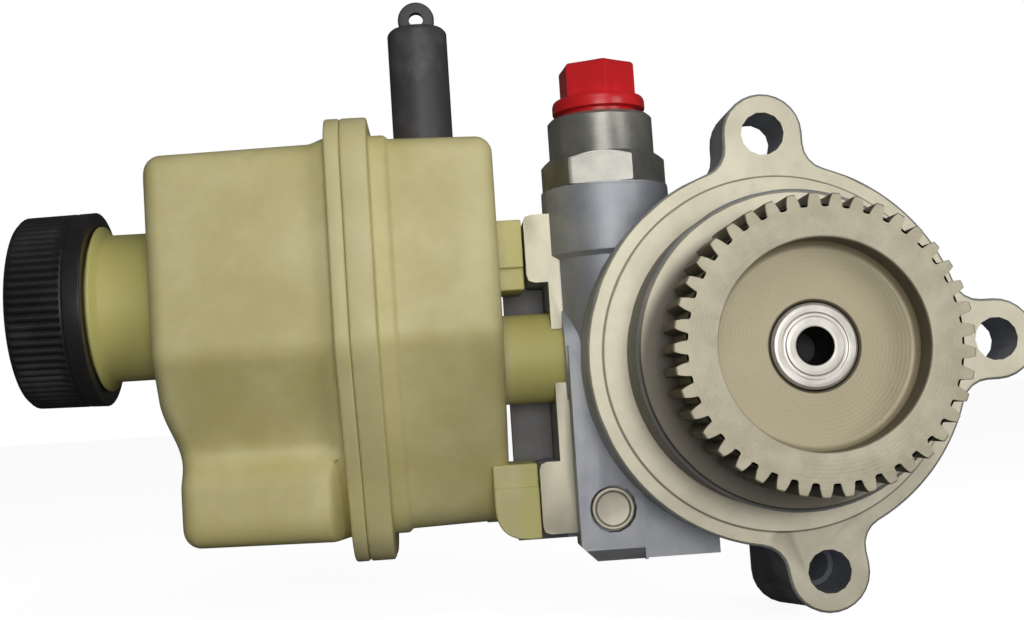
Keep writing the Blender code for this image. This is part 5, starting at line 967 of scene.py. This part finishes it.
class PUMP_OT_reservoir(bpy.types.Operator):
    """Reservoir halves, return nipple and the two lugs"""

    bl_idname = "pump.reservoir"
    bl_label = "Reservoir"

    def execute(self, context):
        material = nylon("Natural nylon", context.scene.pump)
        upper = upper_shell("Reservoir_filler_side", material)
        stands_for(upper, "reservoir_upper_half", "housing")
        end = BOX["reservoir_lower_half"][1][0]
        root = 0.0581
        nipple = lathe("Return_nipple", "X", NIPPLE, [
            (0.004, root), (0.0078, root), (0.0060, 0.0612), (0.0060, end - 0.0003),
            (0.0057, end), (0.004, end)], material, 72, 0.0004)
        right, left, front, back = 0.0582, 0.0710, 0.0210, 0.0467
        tongue_y, tongue_z, plain = (0.0513, 0.0563), (0.0475, left), (0.0006,) * 4
        cut = (0.0008, 0.0006, 0.001, 0.0085)
        blocks = (
            ("Upper_lug", (0.0266, 0.039), (0.0245, back), (right, left), plain, 0.0007),
            ("Upper_lug_step", (0.021, 0.0378), (0.0257, 0.0455), (right, 0.0698), plain, 0.0007),
            ("Upper_tongue", (0.0235, 0.0365), tongue_y, tongue_z, plain, 0.0005),
            ("Lower_lug", (-0.042, -0.0289), (front, back), (right, 0.0695), cut, 0.0007),
            ("Lower_lug_step", (-0.0300, -0.0232), (front + 0.0012, back), (right, 0.0695), plain,
             0.0007),
            ("Lower_tongue", (-0.0395, -0.0257), tongue_y, tongue_z, plain, 0.0005),
        )
        pieces = [lower_shell("Reservoir_pump_side", material), nipple]
        pieces += [slab(*block, material, width) for *block, width in blocks]
        for piece in pieces:
            stands_for(piece, "reservoir_lower_half", "housing")
        return {"FINISHED"}


class PUMP_OT_caps(bpy.types.Operator):
    """Ribbed filler cap, and the rubber cap with its pull loop"""

    bl_idname = "pump.caps"
    bl_label = "Caps"

    def execute(self, context):
        settings = context.scene.pump
        black = plastic("Black plastic", settings.cap_black, 0.38, 0.00003, 900.0, 1.8)
        foot, top = BOX["filler_cap"][0][2], BOX["filler_cap"][1][2]
        band, edge, ceiling = foot + 0.0048, top - 0.0013, foot + 0.0146
        ribs, depth = settings.cap_ribs, settings.rib_depth

        def ribbed(angle, radius, height):
            wave = np.abs(np.sin(angle * ribs / 2)) ** 0.8
            share = ease(height, band, band + 0.0006) * (1 - ease(height, edge, top))
            return radius - depth * (1 - wave) * share * (radius > 0.0235)

        profile = runs([
            (0, ceiling), (0.0202, ceiling), (0.0202, foot), (0.0248, foot),
            (0.0250, foot + 0.0002), (0.02487, band - 0.0006), (0.02457, band - 0.0004),
            (0.02457, band), (0.02487, band + 0.0002), (0.0246, edge), (0.0233, top)], 0.003)
        profile += [(0.0200, top), (0, top)]
        cap = lathe("Filler_cap", "Z", NECK, profile, black, ribs * 8, 0.0004, ribbed, angle=34.0)
        stands_for(cap, "filler_cap", "cap")

        rubber = plastic("Black rubber", settings.rubber_black, 0.5, 0.00004, 700.0, 1.9)
        foot, high = BOX["nipple_cap"][0][0], BOX["nipple_cap"][1][0]
        loop_centre = high - 0.0048
        shoulder = loop_centre - 0.0026
        sleeve = lathe("Nipple_cap", "X", NIPPLE, [
            (0, shoulder - 0.0048), (0.0063, shoulder - 0.0048), (0.0063, foot), (0.0076, foot),
            (0.00785, foot + 0.0004), (0.00785, shoulder - 0.0012), (0.0067, shoulder),
            (0, shoulder)], rubber, 96, 0.0006)
        loop = lathe("Pull_loop", "Y", (loop_centre, NIPPLE[1]), [
            (0.0019, NIPPLE[0] - 0.0016), (0.0048, NIPPLE[0] - 0.0016),
            (0.0048, NIPPLE[0] + 0.0016), (0.0019, NIPPLE[0] + 0.0016)], rubber, 64, 0.0009)
        for piece in (sleeve, loop):
            stands_for(piece, "nipple_cap", "rubber_cap")
        return {"FINISHED"}


class PUMP_OT_inside(bpy.types.Operator):
    """Materials of the bearing, cartridge, valve, seals and bushes"""

    bl_idname = "pump.inside"
    bl_label = "Inside"

    def execute(self, context):
        ground = steel("Ground steel", tone(205, 207, 210), tone(182, 184, 188), 0.22, "Y")
        hard = steel("Hardened steel", tone(168, 166, 162), tone(140, 138, 134), 0.34, "Y")
        spring = steel("Spring steel", tone(120, 124, 132), tone(92, 96, 104), 0.3)
        brass = steel("Brass", tone(214, 178, 96), tone(188, 150, 74), 0.32)
        bronze = steel("Bronze", tone(186, 134, 84), tone(158, 110, 66), 0.38, "Y")
        rubber = plastic("Seal rubber", tone(34, 34, 34), 0.5)
        groups = (
            (("bearing_outer", "bearing_inner", "bearing_ball", "snap_ring"), ground),
            (("front_side", "rear_side", "cam_ring", "rotor", "vane_", "dowel_", "valve_spool"),
             hard),
            (("bearing_cage",), brass),
            (("front_bush", "rear_bush"), bronze),
            (("shaft_seal", "union_o_", "suction_o_", "cap_gasket", "cover_o_"), rubber),
        )
        for names, material in groups:
            dress([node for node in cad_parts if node.startswith(names)], material)
        coil = standing("valve_spring", "Valve_spring", spring)
        stands_for(coil, "valve_spring", "housing")
        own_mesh(coil)
        return {"FINISHED"}


class PUMP_OT_stage(bpy.types.Operator):
    """Floor, light, world and camera"""

    bl_idname = "pump.stage"
    bl_label = "Stage"

    def execute(self, context):
        scene = context.scene
        scene.view_settings.view_transform = "Standard"
        add_camera(scene)
        add_world(scene)
        add_floor()
        add_light("Top", (0.26, -0.28, 0.04), (0.0, 0.0, 0.04), 0.2, 0.27)
        add_light("Front", (0.03, -0.6, 0.06), (0.0, 0.0, 0.04), 0.3, 1.35)
        add_light("Side", (0.1, -0.5, -0.4), (0.0, 0.0, 0.04), 0.3, 0.85)
        return {"FINISHED"}


def add_camera(scene):
    """The camera at the photograph's own place, with its field of view."""
    camera = bpy.data.cameras.new("Camera")
    camera.sensor_width = 36.0
    camera.lens = 48.16
    camera.clip_start, camera.clip_end = 0.01, 60.0
    holder = linked("Camera", camera)
    right, up = (-0.0657, -0.0495, -0.9966), (0.9952, -0.0752, -0.0619)
    back = (-0.0719, -0.9959, 0.0543)
    turn = Matrix((right, up, back)).transposed()
    holder.matrix_world = Matrix.Translation((-0.00926, -0.32336, 0.08084)) @ turn.to_4x4()
    scene.camera = holder


def add_world(scene):
    """White for the camera, and an even room for the light."""
    world = bpy.data.worlds.new("World")
    scene.world = world
    world.use_nodes = True
    nodes, links = world.node_tree.nodes, world.node_tree.links
    path, mixer = nodes.new("ShaderNodeLightPath"), nodes.new("ShaderNodeMixShader")
    links.new(path.outputs["Is Camera Ray"], mixer.inputs[0])
    room, white = nodes["Background"], nodes.new("ShaderNodeBackground")
    for place, (light, strength) in enumerate(((room, ROOM_STRENGTH), (white, 1.0)), 1):
        light.inputs["Color"].default_value = (1.0, 1.0, 1.0, 1.0)
        light.inputs["Strength"].default_value = strength
        links.new(light.outputs[0], mixer.inputs[place])
    links.new(mixer.outputs[0], nodes["World Output"].inputs[0])


def add_light(name, place, target, size, power):
    """A round area lamp that faces its target."""
    light = bpy.data.lights.new(name, "AREA")
    light.shape = "DISK"
    light.size = size
    light.energy = power
    turn = (Vector(place) - Vector(target)).to_track_quat("Z", "Y").to_matrix()
    linked(name, light).matrix_world = Matrix.Translation(place) @ turn.to_4x4()


def add_floor():
    """A white floor under the lowest ear. It throws little light back up at the pump.

    From below it is clear, so a camera under it sees the pump too.
    """
    size, drop = 20.0, -0.066
    corners = [(drop, -size, -size), (drop, size, -size), (drop, size, size), (drop, -size, size)]
    shader = Shader("Floor", roughness=0.9)
    camera = shader.add("ShaderNodeLightPath", output=0)
    shader.set("Base Color", shader.mix(camera, (0.16, 0.16, 0.16), (0.9, 0.9, 0.9)))
    shader.set("Emission Color", shader.mix(camera, (0.0, 0.0, 0.0), (1.0, 1.0, 1.0)))
    shader.surface.inputs["Emission Strength"].default_value = 0.9
    from_below = shader.add("ShaderNodeNewGeometry", output=6)
    shader.set("Alpha", 1 - from_below)
    mesh = bpy.data.meshes.new("Floor")
    mesh.from_pydata(corners, [], [(0, 1, 2, 3)])
    mesh.materials.append(shader.material)
    linked("Floor", mesh)


class PUMP_PT_panel(bpy.types.Panel):
    """The operators and the settings"""

    bl_idname = "PUMP_PT_panel"
    bl_label = "Power Steering Pump"
    bl_space_type = "VIEW_3D"
    bl_region_type = "UI"
    bl_category = "Pump"

    def draw(self, context):
        for operator in OPERATORS:
            self.layout.operator(operator.bl_idname)
        for name in PumpSettings.__annotations__:
            self.layout.prop(context.scene.pump, name)


OPERATORS = (PUMP_OT_casting, PUMP_OT_gear, PUMP_OT_outlet, PUMP_OT_reservoir, PUMP_OT_caps,
             PUMP_OT_inside, PUMP_OT_stage)


def register():
    for kind in (PumpSettings, *OPERATORS, PUMP_PT_panel):
        bpy.utils.register_class(kind)
    bpy.types.Scene.pump = PointerProperty(type=PumpSettings)


def unregister():
    del bpy.types.Scene.pump
    for kind in (PUMP_PT_panel, *reversed(OPERATORS), PumpSettings):
        bpy.utils.unregister_class(kind)


def main():
    register()
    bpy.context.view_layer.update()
    for operator in OPERATORS:
        group, name = operator.bl_idname.split(".")
        getattr(getattr(bpy.ops, group), name)()
    bpy.context.view_layer.update()


if __name__ == "__main__":
    main()
